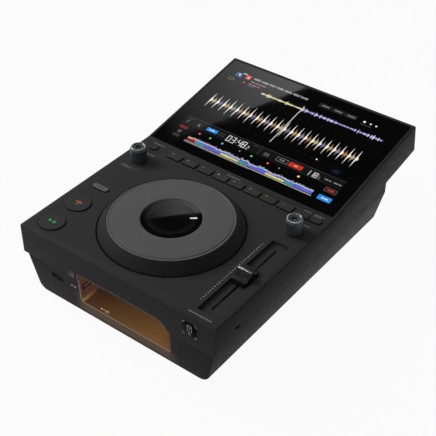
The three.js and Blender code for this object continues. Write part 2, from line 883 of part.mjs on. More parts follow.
const stemWidth = slotWidth - 2 * slideGap;
const carriageTopZ = trackTopZ - trackWall - slideGap;
const carriageBottomZ = trackTopZ - trackHeight + trackWall + seatGap;
const trackLength = tempoTravel + carriageLength + 2 * trackWall + 2 * slideGap;
addPiece('tempo_track', cutBy(
  block(around(0, trackWidth), around(0, trackLength), [trackTopZ - trackHeight, trackTopZ]),
  [
    block(around(0, trackWidth - 2 * trackWall), around(0, trackLength - 2 * trackWall),
      [trackTopZ - trackHeight + trackWall, trackTopZ - trackWall]),
    block(around(0, slotWidth), around(0, slotLength), [trackTopZ - trackWall - seatGap, trackTopZ + cutOverrun]),
  ],
), steel, player, [tempoX, tempoY, 0]);
addPiece('tempo_slider', united([
  block(around(0, trackWidth - 2 * trackWall - 2 * slideGap), around(0, carriageLength),
    [carriageBottomZ, carriageTopZ]),
  block(around(0, stemWidth), around(0, stemLength),
    [carriageTopZ - trackWall, capSocketDepth - capSkirt - seatGap]),
]), blackPlastic, player, [tempoX, tempoY, 0]);
addPiece('tempo_cap', faderCap(), blackPlastic, player, [tempoX, tempoY, 0]);

function troughCut() {
  return united([
    upward(roundedPoints(around(0, troughWidth), around(0, troughLength), troughRadius),
      [-troughDepth, cutOverrun]),
    block(around(0, slotWidth), around(0, slotLength), [-troughDepth - cutOverrun, cutOverrun]),
  ]).translate([tempoX, tempoY, 0]);
}

function troughShell() {
  return block(
    around(tempoX, troughWidth + 2 * troughWall),
    around(tempoY, troughLength + 2 * troughWall),
    [-troughDepth - troughWall, -caseWall / 2],
  );
}

// Knobs: fluted barrels with a chamfered crown and a dished top, on round shafts

function knobRing(radius, z, fluteDepth) {
  const points = [];
  const count = 2 * knobFluteCount;
  for (let i = 0; i < count; i += 1) {
    const angle = 2 * Math.PI * i / count;
    const reach = radius - (i % 2) * fluteDepth;
    points.push([reach * Math.cos(angle), reach * Math.sin(angle), z]);
  }
  return points;
}

function knobSolid() {
  const top = knobGap + knobHeight;
  return cutBy(lofted([
    knobRing(knobBaseRadius, knobGap, 0),
    knobRing(knobBaseRadius, knobGap + knobChamferHeight / 2, knobFluteDepth),
    knobRing(knobRadius, top - knobChamferHeight - knobDishDepth, knobFluteDepth),
    knobRing(knobRadius, top - knobChamferHeight, 0),
    knobRing(knobTopRadius, top, 0),
  ]), [
    disc(knobDishRadius, [top - knobDishDepth, top + cutOverrun]),
    disc(shaftRadius + seatGap, [knobGap - cutOverrun, top - shaftCover], smallSides),
    disc(bushingRadius + slideGap, [knobGap - cutOverrun, knobGap + bushingHeight], smallSides),
  ]);
}

const potTopZ = -caseWall - seatGap;
const potBoreZ = potTopZ - potHeight + potFloor;
const shaftTopZ = knobGap + knobHeight - shaftCover - seatGap;

function potSolid(boreTools) {
  return cutBy(united([
    block(around(0, potSize), around(0, potSize), [potTopZ - potHeight, potTopZ]),
    disc(bushingRadius, [potTopZ - potFloor, bushingHeight], smallSides),
  ]), [disc(shaftRadius + slideGap, [potBoreZ, cutOverrun], smallSides), ...boreTools]);
}

addPiece('level_knob', knobSolid(), knobPlastic, player, [-knobX, knobY, 0]);
addPiece('level_shaft', disc(shaftRadius, [potBoreZ + seatGap, shaftTopZ], smallSides), steel,
  player, [-knobX, knobY, 0]);
addPiece('level_pot', potSolid([]), blackPlastic, player, [-knobX, knobY, 0]);

const plungerRoomTopZ = potBoreZ + plungerHeight + pressTravel + 2 * seatGap;
const plungerBottomZ = potBoreZ + pressTravel + seatGap;
addPiece('select_knob', knobSolid(), knobPlastic, player, [knobX, knobY, 0]);
addPiece('select_shaft', disc(shaftRadius, [plungerBottomZ + plungerHeight + seatGap, shaftTopZ], smallSides),
  steel, player, [knobX, knobY, 0]);
addPiece('select_plunger', disc(plungerRadius, [plungerBottomZ, plungerBottomZ + plungerHeight], smallSides),
  blackPlastic, player, [knobX, knobY, 0]);
addPiece('select_encoder', potSolid([
  disc(plungerRadius + slideGap, [potBoreZ, plungerRoomTopZ], smallSides),
]), blackPlastic, player, [knobX, knobY, 0]);

// Touch screen: cover glass in a pocket, the display in the window under it, and a pressed bracket

const glassX = [-halfWidth + glassMarginX, halfWidth - glassMarginX];
const glassY = [glassStart, glassStart + glassLength];
const glassBottom = -glassDrop - glassThickness;
const windowDepth = caseWall + underlayThickness;
const displayTop = glassBottom - seatGap;
const displayY = [displayStart, displayStart + displayLength];
const bracketTop = displayTop - displayThickness - seatGap;

function screenPlate([left, right], [start, end], radius, levels, grow = 0) {
  return upward(roundedPoints([left - grow, right + grow], [start - grow, end + grow], radius + grow), levels);
}

addPiece('screen_glass', screenPlate(glassX, glassY, glassRadius, [glassBottom, -glassDrop]),
  blackGlass, screenGroup);
addPiece('screen_display', block(around(0, displayWidth), displayY, [displayTop - displayThickness, displayTop]),
  steel, screenGroup);

function screenBracket() {
  const reach = bracketMargin + bracketThickness;
  const outer = block(
    around(0, displayWidth + 2 * reach),
    [displayY[0] - reach, displayY[1] + reach],
    [bracketTop - bracketThickness, -windowDepth - seatGap],
  );
  const inner = block(
    around(0, displayWidth + 2 * bracketMargin),
    [displayY[0] - bracketMargin, displayY[1] + bracketMargin],
    [bracketTop, cutOverrun],
  );
  const middle = (displayY[0] + displayY[1]) / 2;
  const windows = [-1, 1].map((side) => block(
    around(side * bracketWindowWidth, bracketWindowWidth),
    around(middle, bracketWindowLength),
    [bracketTop - cutOverrun, bracketTop + cutOverrun],
  ));
  return cutBy(outer, [inner, ...windows]);
}

addPiece('screen_bracket', screenBracket(), steel, screenGroup);

// Key boards, hung on posts from the panel, with a switch under each stem

const padRowReach = navX + navReach + navWidth / 2;
const stemEndZ = -caseWall - seatGap - buttonFlangeThickness - buttonStemLength;
const switchTopZ = stemEndZ - buttonTravel - seatGap;
const keyBoardLevels = [keyBoardZ - boardThickness, keyBoardZ];
const leftBoardX = [-halfWidth + caseWall + keyBoardMargin, -jogOpeningRadius - keyBoardMargin];
const leftBoardY = [caseWall + keyBoardMargin, modeY + keyBoardReach];
const padBoardX = [-padRowReach, padRowReach];
const padBoardY = [keyRowY - padDepth / 2 - keyBoardMargin, panelDepth - seatGap];

function keySwitch(x, y) {
  return block(around(x, switchSize), around(y, switchSize), [keyBoardZ - seatGap, switchTopZ]);
}

function onBoard(key, [left, right], [front, back]) {
  return key.x > left && key.x < right && key.y > front && key.y < back;
}

function keyBoard(spanX, spanY) {
  const switches = keys.filter((key) => onBoard(key, spanX, spanY)).map((key) => keySwitch(key.x, key.y));
  return united([block(spanX, spanY, keyBoardLevels), ...switches]);
}

addPiece('key_board_left', keyBoard(leftBoardX, leftBoardY), boardGreen);
addPiece('key_board_rear', keyBoard(padBoardX, padBoardY), boardGreen);

function hangingPost(x, y) {
  return disc(postRadius, [keyBoardZ + seatGap, -caseWall / 2], smallSides).translate([x, y, 0]);
}

function cornerPosts([left, right], [front, back]) {
  const inset = postRadius + seatGap;
  return [[left + inset, front + inset], [right - inset, front + inset],
    [left + inset, back - inset], [right - inset, back - inset]];
}

// Upper case: a bent moulding, open below, with the panel's holes, the screen window, posts and ribs

function caseRing(along, inset) {
  const radius = caseEdgeRadius - inset;
  return roundedPoints([-halfWidth + inset, halfWidth - inset], [inset, caseThickness - inset], radius)
    .map(([x, depth]) => {
      const [y, z] = surfacePoint(along, depth);
      return [x, y, z];
    });
}

function caseBody() {
  const rings = [];
  for (let step = 0; step <= edgeSteps; step += 1) {
    const angle = Math.PI / 2 * (1 - step / edgeSteps);
    rings.push([caseEdgeRadius * (1 - Math.sin(angle)), caseEdgeRadius * (1 - Math.cos(angle))]);
  }
  const front = rings.map(([along, inset]) => caseRing(along, inset));
  const rear = [...rings].reverse().map(([along, inset]) => caseRing(screenEnd - along, inset));
  return lofted([...front, caseRing(panelDepth, 0), ...rear]);
}

function lockSlot() {
  const radius = lockHeight / 2;
  return across(
    roundedPoints(around(lockY, lockWidth), around(-lockDepth, lockHeight), radius),
    [halfWidth - caseWall - cutOverrun, halfWidth + cutOverrun],
  );
}

function panelRib([left, right], y) {
  return block([left, right], around(y, caseWall / 2), [-caseWall - underlayThickness, -caseWall / 2]);
}

function upperCase() {
  const inner = halfWidth - caseWall;
  const cavity = layer([-inner, inner], [caseWall, screenEnd - caseWall], [caseWall, caseThickness + cutOverrun]);
  const underlay = layer(around(0, caseWidth - caseWall),
    [panelDepth - underlayThickness, screenEnd - caseWall / 2], [caseWall / 2, windowDepth]);
  const jogPosts = jogBossPlaces().map(([x, y]) => disc(
    jogBossRadius, [seatGap - jogBaseDepth, -caseWall / 2], smallSides,
  ).translate([x, y + jogY, 0]));
  const posts = [...cornerPosts(leftBoardX, leftBoardY), ...cornerPosts(padBoardX, padBoardY)]
    .map(([x, y]) => hangingPost(x, y));
  const ribY = jogY + jogOpeningRadius + caseWall;
  const ribs = [panelRib([-jogTopRadius, jogTopRadius], ribY)];
  const shell = united([caseBody().subtract(cavity), underlay, troughShell(), ...jogPosts, ...posts, ...ribs]);
  return cutBy(shell, [
    disc(jogOpeningRadius, [-caseWall - cutOverrun, cutOverrun], wheelSides).translate([0, jogY, 0]),
    ...keys.map((key) => keyHole(key.outline).translate([key.x, key.y, 0])),
    ...[-knobX, knobX].map((x) => disc(bushingRadius + seatGap, [-caseWall - cutOverrun, cutOverrun], smallSides)
      .translate([x, knobY, 0])),
    troughCut(),
    onScreen(screenPlate(glassX, glassY, glassRadius, [glassBottom - seatGap, cutOverrun], seatGap)),
    onScreen(block(around(0, displayWidth + 2 * slideGap), [displayY[0] - slideGap, displayY[1] + slideGap],
      [-windowDepth - cutOverrun, cutOverrun])),
    block(around(-stopX, stopSize + 2 * slideGap), [-cutOverrun, caseWall + cutOverrun],
      around(-stopDepth, stopSize + 2 * slideGap)),
    lockSlot(),
    recessNotch,
  ]);
}

addPiece('upper_case', upperCase(), casePlastic);

// Boards and sockets of the lower case

const innerHalf = lowerHalfWidth(mainBoardZ) - lowerWall;
const powerBoardX = [-innerHalf + boardSplit, -innerHalf + boardSplit + powerBoardWidth];
const mainBoardX = [powerBoardX[1] + boardSplit, innerHalf - boardSplit];
const mainBoardY = [recessDepth + boardFrontGap, lowerDepth - boardRearGap];
const powerBoardY = [mainBoardY[1] - powerBoardLength, mainBoardY[1]];
const mainLevels = [mainBoardZ, mainBoardZ + boardThickness];
const boardTopZ = mainLevels[1];

function heatSink(x, y) {
  const fins = [];
  const pitch = chipSize / (heatSinkFinCount - 1);
  for (let i = 0; i < heatSinkFinCount; i += 1) {
    fins.push(block(
      around(x + (i - (heatSinkFinCount - 1) / 2) * pitch, heatSinkFinThickness),
      around(y, chipSize),
      [boardTopZ + chipHeight - seatGap, boardTopZ + chipHeight + heatSinkFinHeight],
    ));
  }
  return fins;
}

const chipX = (mainBoardX[0] + mainBoardX[1]) / 2;
const chipY = (mainBoardY[0] + mainBoardY[1]) / 2;
addPiece('main_board', united([
  block(mainBoardX, mainBoardY, mainLevels),
  block(around(chipX, chipSize + heatSinkFinThickness), around(chipY, chipSize),
    [mainBoardZ + boardThickness / 2, boardTopZ + chipHeight]),
  ...heatSink(chipX, chipY),
]), boardGreen);

const coilX = (powerBoardX[0] + powerBoardX[1]) / 2;
const coilY = powerBoardY[0] + coilLength;
const capacitorY = coilY + coilLength / 2 + 2 * capacitorRadius;
addPiece('power_board', united([
  block(powerBoardX, powerBoardY, mainLevels),
  block(around(coilX, coilWidth), around(coilY, coilLength), [mainBoardZ + boardThickness / 2, boardTopZ + coilHeight]),
  ...[-1, 1].map((side) => disc(capacitorRadius,
    [mainBoardZ + boardThickness / 2, boardTopZ + capacitorHeight], smallSides)
    .translate([coilX + side * (capacitorRadius + postRadius), capacitorY, 0])),
]), boardGreen);

// A USB socket that opens towards the front, its mouth at y = 0
function usbSocket() {
  const shell = block(around(0, usbShellWidth), [0, usbShellLength], around(0, usbShellHeight));
  const hollow = block(around(0, usbShellWidth - 2 * usbShellWall), [-cutOverrun, usbShellLength - usbBackWall],
    around(0, usbShellHeight - 2 * usbShellWall));
  const tongue = block(around(0, usbTongueWidth), [usbTongueSetback, usbShellLength - usbBackWall / 2],
    around(-usbShellHeight / 2 + usbShellWall + usbTongueHeight, usbTongueHeight));
  return shell.subtract(hollow).add(tongue);
}

const frontUsbY = lowerFrontY(-usbDepth) + usbSetback;
const recessUsbX = recessLeft - recessWall - seatGap;
addPiece('usb_port_front', usbSocket(), socketSteel, player, [-usbX, frontUsbY, -usbDepth]);
addPiece('usb_port_recess', usbSocket().rotate([0, 0, 90]), socketSteel, player,
  [recessUsbX, recessUsbY, -usbDepth]);

const portBoardX = [-usbX - usbShellWidth / 2 - usbSetback, recessUsbX - seatGap];
const portBoardY = [
  Math.max(frontUsbY, lowerFrontY(portBoardZ) + lowerWall) + seatGap,
  recessUsbY + usbShellLength + usbSetback,
];
addPiece('port_board', block(portBoardX, portBoardY, [portBoardZ, portBoardZ + boardThickness]), boardGreen);

const rearOuterY = lowerDepth + socketProud;
const rearInnerY = lowerDepth - lowerWall;

// Mains inlet: a hooded socket with three blades, held in the rear wall
function mainsInlet() {
  const mouth = roundedPoints(around(0, inletMouthWidth), around(0, inletMouthHeight), inletRadius);
  const body = backward(roundedPoints(around(0, inletWidth), around(0, inletHeight), inletRadius),
    [rearOuterY - inletLength, rearOuterY]);
  const bladeY = [rearOuterY - inletMouthDepth - socketProud, rearOuterY - inletPinHeight];
  const blade = block(around(0, inletPinWidth), bladeY, around(0, inletPinHeight));
  return united([
    body.subtract(backward(mouth, [rearOuterY - inletMouthDepth, rearOuterY + cutOverrun])),
    blade.translate([0, 0, inletPinOffset]),
    blade.translate([-inletPinSpread, 0, -inletPinOffset]),
    blade.translate([inletPinSpread, 0, -inletPinOffset]),
  ]);
}

const inletZ = socketFloorZ + inletHeight / 2;
addPiece('power_inlet', mainsInlet(), blackPlastic, player, [-inletX, 0, inletZ]);

// Power switch: a body behind the wall and a round button through it
const switchZ = socketFloorZ + switchBodySize / 2;
const switchFrontY = rearInnerY - seatGap - switchBodyLength;
const switchRoom = [switchFrontY + lowerWall, rearInnerY + cutOverrun];
const buttonCollarRadius = switchButtonRadius + buttonFlange / 2;
const switchCollarY = rearInnerY - 2 * seatGap - buttonFlangeThickness;
addPiece('power_switch', cutBy(
  block(around(0, switchBodySize), [switchFrontY, rearInnerY - seatGap], around(0, switchBodySize)),
  [rearwardDisc(buttonCollarRadius + slideGap, switchRoom)],
), blackPlastic, player, [-switchX, 0, switchZ]);
addPiece('power_button', united([
  rearwardDisc(switchButtonRadius, [switchCollarY, lowerDepth + switchButtonRise]),
  rearwardDisc(buttonCollarRadius, [switchCollarY, switchCollarY + buttonFlangeThickness]),
]), blackPlastic, player, [-switchX, 0, switchZ]);

// Network socket: a shielded box with a stepped mouth
const linkZ = socketFloorZ + linkHeight / 2;
addPiece('link_port', cutBy(
  block(around(0, linkWidth), [rearOuterY - linkLength, rearOuterY], around(0, linkHeight)),
  [
    block(around(0, linkMouthWidth), [rearOuterY - linkMouthDepth, rearOuterY + cutOverrun],
      around(0, linkMouthHeight)),
    block(around(0, linkMouthWidth / 2), [rearOuterY - linkMouthDepth, rearOuterY + cutOverrun],
      [-linkMouthHeight / 2 - usbTongueHeight, linkMouthHeight / 2]),
  ],
), socketSteel, player, [linkX, 0, linkZ]);

// Phono sockets: barrels with a collar and a blind bore, on a common body
function phonoJacks(count) {
  const width = (count - 1) * jackSpacing + jackBodyWidth;
  const parts = [block(around(0, width), [rearInnerY - seatGap - jackBodyLength, rearInnerY - seatGap],
    around(0, jackBodyHeight))];
  const bores = [];
  for (let i = 0; i < count; i += 1) {
    const place = [(i - (count - 1) / 2) * jackSpacing, 0, 0];
    parts.push(rearwardDisc(jackCollarRadius, [rearInnerY - lowerWall, rearOuterY]).translate(place));
    parts.push(rearwardDisc(jackBarrelRadius, [rearInnerY - lowerWall, rearOuterY + jackBarrelLength])
      .translate(place));
    bores.push(rearwardDisc(jackBoreRadius, [rearInnerY, rearOuterY + jackBarrelLength + cutOverrun])
      .translate(place));
  }
  return cutBy(united(parts), bores);
}

const jackZ = socketFloorZ + jackBodyHeight / 2;
addPiece('digital_jack', phonoJacks(1), blackPlastic, player, [digitalX, 0, jackZ]);
addPiece('audio_jacks', phonoJacks(2), blackPlastic, player, [audioX, 0, jackZ]);

// Lower case: a tapered tub under a shoulder that closes the upper case, with posts on its floor

// The outline is carried from front to rear, and drawn in at both ends to round the edges there.
function lowerBody() {
  const top = undersideZ(lowerDepth) + cutOverrun;
  const front = [];
  const rear = [];
  for (let step = 0; step <= cornerSteps; step += 1) {
    const angle = Math.PI / 2 * step / cornerSteps;
    const inset = lowerEdgeRadius * (1 - Math.sin(angle));
    const reach = lowerEdgeRadius * (1 - Math.cos(angle));
    const outline = lowerOutline(inset, bottomZ + inset, top);
    front.push(outline.map(([x, z]) => [x, lowerFrontY(z) + reach, z]));
    rear.unshift(outline.map(([x, z]) => [x, lowerDepth - reach, z]));
  }
  return lofted([...front, ...rear]);
}

function lowerCavity() {
  const outline = lowerOutline(lowerWall, floorZ, undersideZ(lowerDepth) + 2 * cutOverrun);
  return lofted([
    outline.map(([x, z]) => [x, lowerFrontY(z) + lowerWall, z]),
    outline.map(([x, z]) => [x, lowerDepth - lowerWall, z]),
  ]);
}

function standingPost([x, y], top) {
  return disc(postRadius, [floorZ - lowerFloor / 3, top - seatGap], smallSides).translate([x, y, 0]);
}

// The underside's outline, drawn in by a distance.
function bottomOutline(inset) {
  const margin = lowerEdgeRadius + inset;
  return roundedPoints([inset - lowerSweepX, lowerSweepX - inset],
    [lowerFrontY(bottomZ) + margin, lowerDepth - margin], pocketCornerRadius);
}

function rearHoles() {
  const levels = (centre, size) => around(centre, size + 2 * seatGap);
  const through = [rearInnerY - cutOverrun, lowerDepth + cutOverrun];
  const hole = (x, z, width, height) => block(levels(x, width), through, levels(z, height));
  const roundHole = (x, z, radius) => rearwardDisc(radius + seatGap, through).translate([x, 0, z]);
  return [
    hole(-inletX, inletZ, inletWidth, inletHeight),
    hole(linkX, linkZ, linkWidth, linkHeight),
    roundHole(-switchX, switchZ, switchButtonRadius),
    roundHole(digitalX, jackZ, jackCollarRadius),
    roundHole(audioX - jackSpacing / 2, jackZ, jackCollarRadius),
    roundHole(audioX + jackSpacing / 2, jackZ, jackCollarRadius),
  ];
}

const usbHole = backward(usbSlot(0).map(([x, z]) => [x - usbX, z - usbDepth]),
  [-cutOverrun, frontUsbY + lowerWall]);

const stopRoom = block(
  around(-stopX, stopSize + 2 * buttonFlange + 2 * slideGap),
  [0, stopFlangeY + buttonFlangeThickness + stopTravel + slideGap],
  around(-stopDepth, stopSize + 2 * buttonFlange + 2 * slideGap),
);

function lowerCase() {
  const shoulder = layer(
    around(0, caseWidth - 2 * caseWall - 2 * seatGap),
    [caseWall + seatGap, screenEnd - caseWall - seatGap],
    [caseThickness - shoulderLip - shoulderThickness, caseThickness - shoulderLip],
  );
  const liningPostY = recessDepth - postRadius;
  const posts = [
    ...cornerPosts(mainBoardX, mainBoardY).map((place) => standingPost(place, mainBoardZ)),
    ...cornerPosts(powerBoardX, powerBoardY).map((place) => standingPost(place, mainBoardZ)),
    ...cornerPosts(portBoardX, portBoardY).slice(2).map((place) => standingPost(place, portBoardZ)),
    standingPost([portBoardX[0] + postRadius + seatGap, portBoardY[0] + 2 * postRadius], portBoardZ),
    standingPost([recessLeft, liningPostY], -recessFloor - recessWall),
    standingPost([recessRight, liningPostY], -recessFloor - recessWall),
  ];
  const body = lowerBody();
  const tub = body.subtract(above(caseThickness + seatGap));
  const neck = body.intersect(layer(
    around(0, caseWidth - 2 * caseWall - 2 * seatGap),
    [caseWall + seatGap, screenEnd - caseWall - seatGap],
    [caseThickness - shoulderLip - shoulderThickness, caseThickness + shoulderThickness],
  ));
  const shell = united([tub, neck, shoulder]).subtract(lowerCavity());
  const pocketTopZ = bottomZ + plateThickness + seatGap;
  return cutBy(united([shell, ...posts]), [
    upward(bottomOutline(rimWidth), [bottomZ - cutOverrun, pocketTopZ]),
    recessNotch,
    stopRoom,
    usbHole,
    ...rearHoles(),
  ]);
}

addPiece('lower_case', lowerCase(), lowerPlastic);

// Base plate: pressed steel with vent slots, in a pocket of the underside

const footX = lowerHalfWidth(bottomZ) - footInset - footRadius;
const footFrontY = lowerFrontY(bottomZ) + footInset + footRadius;
const footRearY = lowerDepth - footInset - footRadius;
const feet = [
  { name: 'foot_front_left', x: -footX, y: footFrontY },
  { name: 'foot_front_right', x: footX, y: footFrontY },
  { name: 'foot_rear_left', x: -footX, y: footRearY },
  { name: 'foot_rear_right', x: footX, y: footRearY },
];

function basePlate() {
  const levels = [bottomZ - cutOverrun, bottomZ + cutOverrun];
  const vents = [];
  for (let i = 0; i < ventCount; i += 1) {
    const x = (i - (ventCount - 1) / 2) * ventPitch;
    vents.push(upward(roundedPoints(around(x, ventWidth), around(chipY, ventLength), ventWidth / 2), levels));
  }
  const spigotHoles = feet.map(({ x, y }) => disc(footSpigotRadius + seatGap, levels, smallSides)
    .translate([x, y, 0]));
  return cutBy(upward(bottomOutline(rimWidth + seatGap), [bottomZ, bottomZ + plateThickness]),
    [...vents, ...spigotHoles]);
}

addPiece('base_plate', basePlate(), steel);

// Feet: rubber pads with a spigot in the base plate

const footSolid = turned([
  [0, bottomZ - footHeight],
  [footRadius, bottomZ - footHeight],
  [footTopRadius, bottomZ - seatGap],
  [footSpigotRadius, bottomZ - seatGap],
  [footSpigotRadius, bottomZ + plateThickness],
  [0, bottomZ + plateThickness],
], roundSides);
for (const { name, x, y } of feet) addPiece(name, footSolid, rubber, player, [x, y, 0]);

export default player;
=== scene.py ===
"""Looks for a tabletop DJ media player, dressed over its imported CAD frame.

Lengths are millimetres in the frame of the CAD model (x to the right, y to the back, z up from the
table) and become metres when a mesh is made.
"""

import json
import logging
import math
from collections.abc import Sequence
from dataclasses import dataclass, field
from enum import Enum

import bmesh
import bpy
import numpy as np
from mathutils import Matrix, Vector


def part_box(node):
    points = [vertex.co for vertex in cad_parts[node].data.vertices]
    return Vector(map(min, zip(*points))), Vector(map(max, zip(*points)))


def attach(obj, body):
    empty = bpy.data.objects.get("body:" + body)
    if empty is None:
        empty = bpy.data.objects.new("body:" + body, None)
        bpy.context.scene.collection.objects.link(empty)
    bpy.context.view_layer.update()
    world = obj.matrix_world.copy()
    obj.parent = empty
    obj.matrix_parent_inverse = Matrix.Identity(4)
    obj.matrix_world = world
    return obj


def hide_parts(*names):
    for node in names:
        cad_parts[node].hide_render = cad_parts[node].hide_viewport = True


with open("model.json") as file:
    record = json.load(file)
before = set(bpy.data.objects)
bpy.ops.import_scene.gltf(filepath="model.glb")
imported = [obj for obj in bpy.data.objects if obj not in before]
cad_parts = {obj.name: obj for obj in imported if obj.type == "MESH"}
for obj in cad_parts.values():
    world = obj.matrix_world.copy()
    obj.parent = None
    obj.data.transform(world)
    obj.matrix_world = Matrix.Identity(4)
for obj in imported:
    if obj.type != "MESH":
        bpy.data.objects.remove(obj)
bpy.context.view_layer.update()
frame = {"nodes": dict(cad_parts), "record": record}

Pair = tuple[float, float]
Place = tuple[float, float, float]
Colour = Place
Array = np.ndarray
Material, Object, Socket = bpy.types.Material, bpy.types.Object, bpy.types.NodeSocket
Paint = Colour | Socket

LOG = logging.getLogger("player")
METRES = 0.001
# Edges that turn more than this many degrees stay crisp.
CRISP = 38
BLACK = (0.0, 0.0, 0.0)
X_AXIS, Y_AXIS, UP = (1, 0, 0), (0, 1, 0), (0, 0, 1)


def tone(red: float, green: float, blue: float) -> Colour:
    """Gives the linear colour of three screen levels.

    Each level c becomes ((c / 255 + 0.055) / 1.055) to the power 2.4.

    Args:
        red: Red level, 0 to 255.
        green: Green level, 0 to 255.
        blue: Blue level, 0 to 255.

    Returns:
        The three linear parts.
    """
    levels = np.array([red, green, blue]) / 255
    return tuple(float(part) for part in ((levels + 0.055) / 1.055) ** 2.4)


class Ink(Enum):
    """The colours that the displays, lamps and printed marks use."""

    WHITE = tone(236, 236, 232)
    SOFT = tone(150, 150, 150)
    FAINT = tone(74, 74, 78)
    VIOLET = tone(112, 92, 190)
    DEEP = tone(40, 34, 92)
    BLUE = tone(48, 112, 214)
    SKY = tone(38, 140, 226)
    RED = tone(196, 48, 34)
    GREEN = tone(56, 172, 72)
    TEAL = tone(70, 150, 140)
    YELLOW = tone(226, 208, 96)
    ORANGE = tone(222, 120, 52)
    PRINT = tone(150, 150, 148)
    DIM_PRINT = tone(104, 104, 104)


@dataclass
class Surface:
    """Points and faces of a closed surface, with the corner coordinates of its own map if it has one."""

    points: Array
    faces: Array
    corners: Array | None = None


def grid_faces(rows: int, columns: int, wrap_rows: bool = False) -> Array:
    """Joins a grid of points, whose rows close on themselves, by four-sided faces.

    The face at row i, column j takes the points (i, j), (i, j + 1), (i + 1, j + 1), (i + 1, j).

    Args:
        rows: Number of rows of points.
        columns: Number of points in a row.
        wrap_rows: Whether the last row meets the first.

    Returns:
        An array of four point numbers for each face.
    """
    i, j = np.meshgrid(np.arange(rows if wrap_rows else rows - 1), np.arange(columns), indexing="ij")
    below, beside = (i + 1) % rows, (j + 1) % columns
    quads = np.stack([i * columns + j, i * columns + beside, below * columns + beside, below * columns + j], -1)
    return quads.reshape(-1, 4)


def eased(corners: Sequence[Pair], reach: float | Sequence[float], steps: int = 5) -> Array:
    """Rounds the corners of a closed outline.

    Each corner P becomes the curve (1 - t)^2 A + 2 t (1 - t) P + t^2 B, where A and B lie on its two
    sides, reach away from P but never past 0.45 of a side.

    Args:
        corners: The outline's corners in order.
        reach: How far from each corner its curve starts, one value or one for each corner.
        steps: Points on each curve.

    Returns:
        The points of the rounded outline.
    """
    at = np.asarray(corners, float)
    back, on = np.roll(at, 1, 0) - at, np.roll(at, -1, 0) - at
    long_back, long_on = np.linalg.norm(back, axis=1), np.linalg.norm(on, axis=1)
    cut = np.minimum(np.broadcast_to(np.asarray(reach, float), len(at)), 0.45 * np.minimum(long_back, long_on))
    start = at + back * (cut / long_back)[:, None]
    end = at + on * (cut / long_on)[:, None]
    t = np.linspace(0, 1, steps)[None, :, None]
    curve = (1 - t) ** 2 * start[:, None] + 2 * t * (1 - t) * at[:, None] + t**2 * end[:, None]
    return curve.reshape(-1, 2)


def turned(profile: Array, centre: Pair, sides: int = 224) -> Surface:
    """Turns a closed profile round an upright axis.

    The point at angle a with radius r and height h is (cx + r cos a, cy + r sin a, h). The map's first
    part is a as a share of a turn and its second is the length along the profile in millimetres.

    Args:
        profile: Radii and heights in order, which close on themselves.
        centre: Where the axis stands.
        sides: Points round the axis.

    Returns:
        The turned surface.
    """
    angle = np.arange(sides) * 2 * np.pi / sides
    radius, height = profile[:, 0], profile[:, 1]
    points = np.stack([
        centre[0] + np.cos(angle)[:, None] * radius,
        centre[1] + np.sin(angle)[:, None] * radius,
        np.broadcast_to(height, (sides, len(profile))),
    ], -1).reshape(-1, 3)
    along = np.concatenate([[0], np.cumsum(np.linalg.norm(np.roll(profile, -1, 0) - profile, axis=1))])
    i, j = np.meshgrid(np.arange(sides), np.arange(len(profile)), indexing="ij")
    share = np.stack([i, i, i + 1, i + 1], -1) / sides
    length = along[np.stack([j, j + 1, j + 1, j], -1)]
    corners = np.stack([share, length], -1).reshape(-1, 4, 2)
    return Surface(points, grid_faces(sides, len(profile), True), corners)


def stacked(rings: Array) -> Surface:
    """Joins rings of equal count one above the other and closes both ends on their middle points.

    Args:
        rings: Points of each ring, as rings by points by three, from the bottom to the top.

    Returns:
        The closed surface.
    """
    count, around = rings.shape[:2]
    ends = np.stack([rings[0].mean(0), rings[-1].mean(0)])
    points = np.concatenate([rings.reshape(-1, 3), ends])
    j = np.arange(around)
    beside = (j + 1) % around
    low, high = count * around, count * around + 1
    top = (count - 1) * around
    bottom_faces = np.stack([beside, j, np.full(around, low), np.full(around, low)], -1)
    top_faces = np.stack([top + j, top + beside, np.full(around, high), np.full(around, high)], -1)
    return Surface(points, np.concatenate([grid_faces(count, around), bottom_faces, top_faces]))


def rounded_outline(width: float, depth: float, radius: float, steps: int = 9) -> Array:
    """Gives a rectangle with quarter-circle corners, counter-clockwise round (0, 0).

    A corner's points are its centre plus radius times (cos a, sin a) over a quarter turn.

    Args:
        width: Size along the first axis.
        depth: Size along the second axis.
        radius: Corner radius, at most half the smaller size.
        steps: Points on each corner.

    Returns:
        The outline's points.
    """
    radius = min(radius, width / 2 - 1e-4, depth / 2 - 1e-4)
    start = np.array([0, 0.5, 1, 1.5]) * np.pi
    angle = start[:, None] + np.linspace(0, np.pi / 2, steps)[None]
    signs = np.array([[1, 1], [-1, 1], [-1, -1], [1, -1]])
    centres = signs * np.array([width / 2 - radius, depth / 2 - radius])
    points = centres[:, None] + radius * np.stack([np.cos(angle), np.sin(angle)], -1)
    return points.reshape(-1, 2)


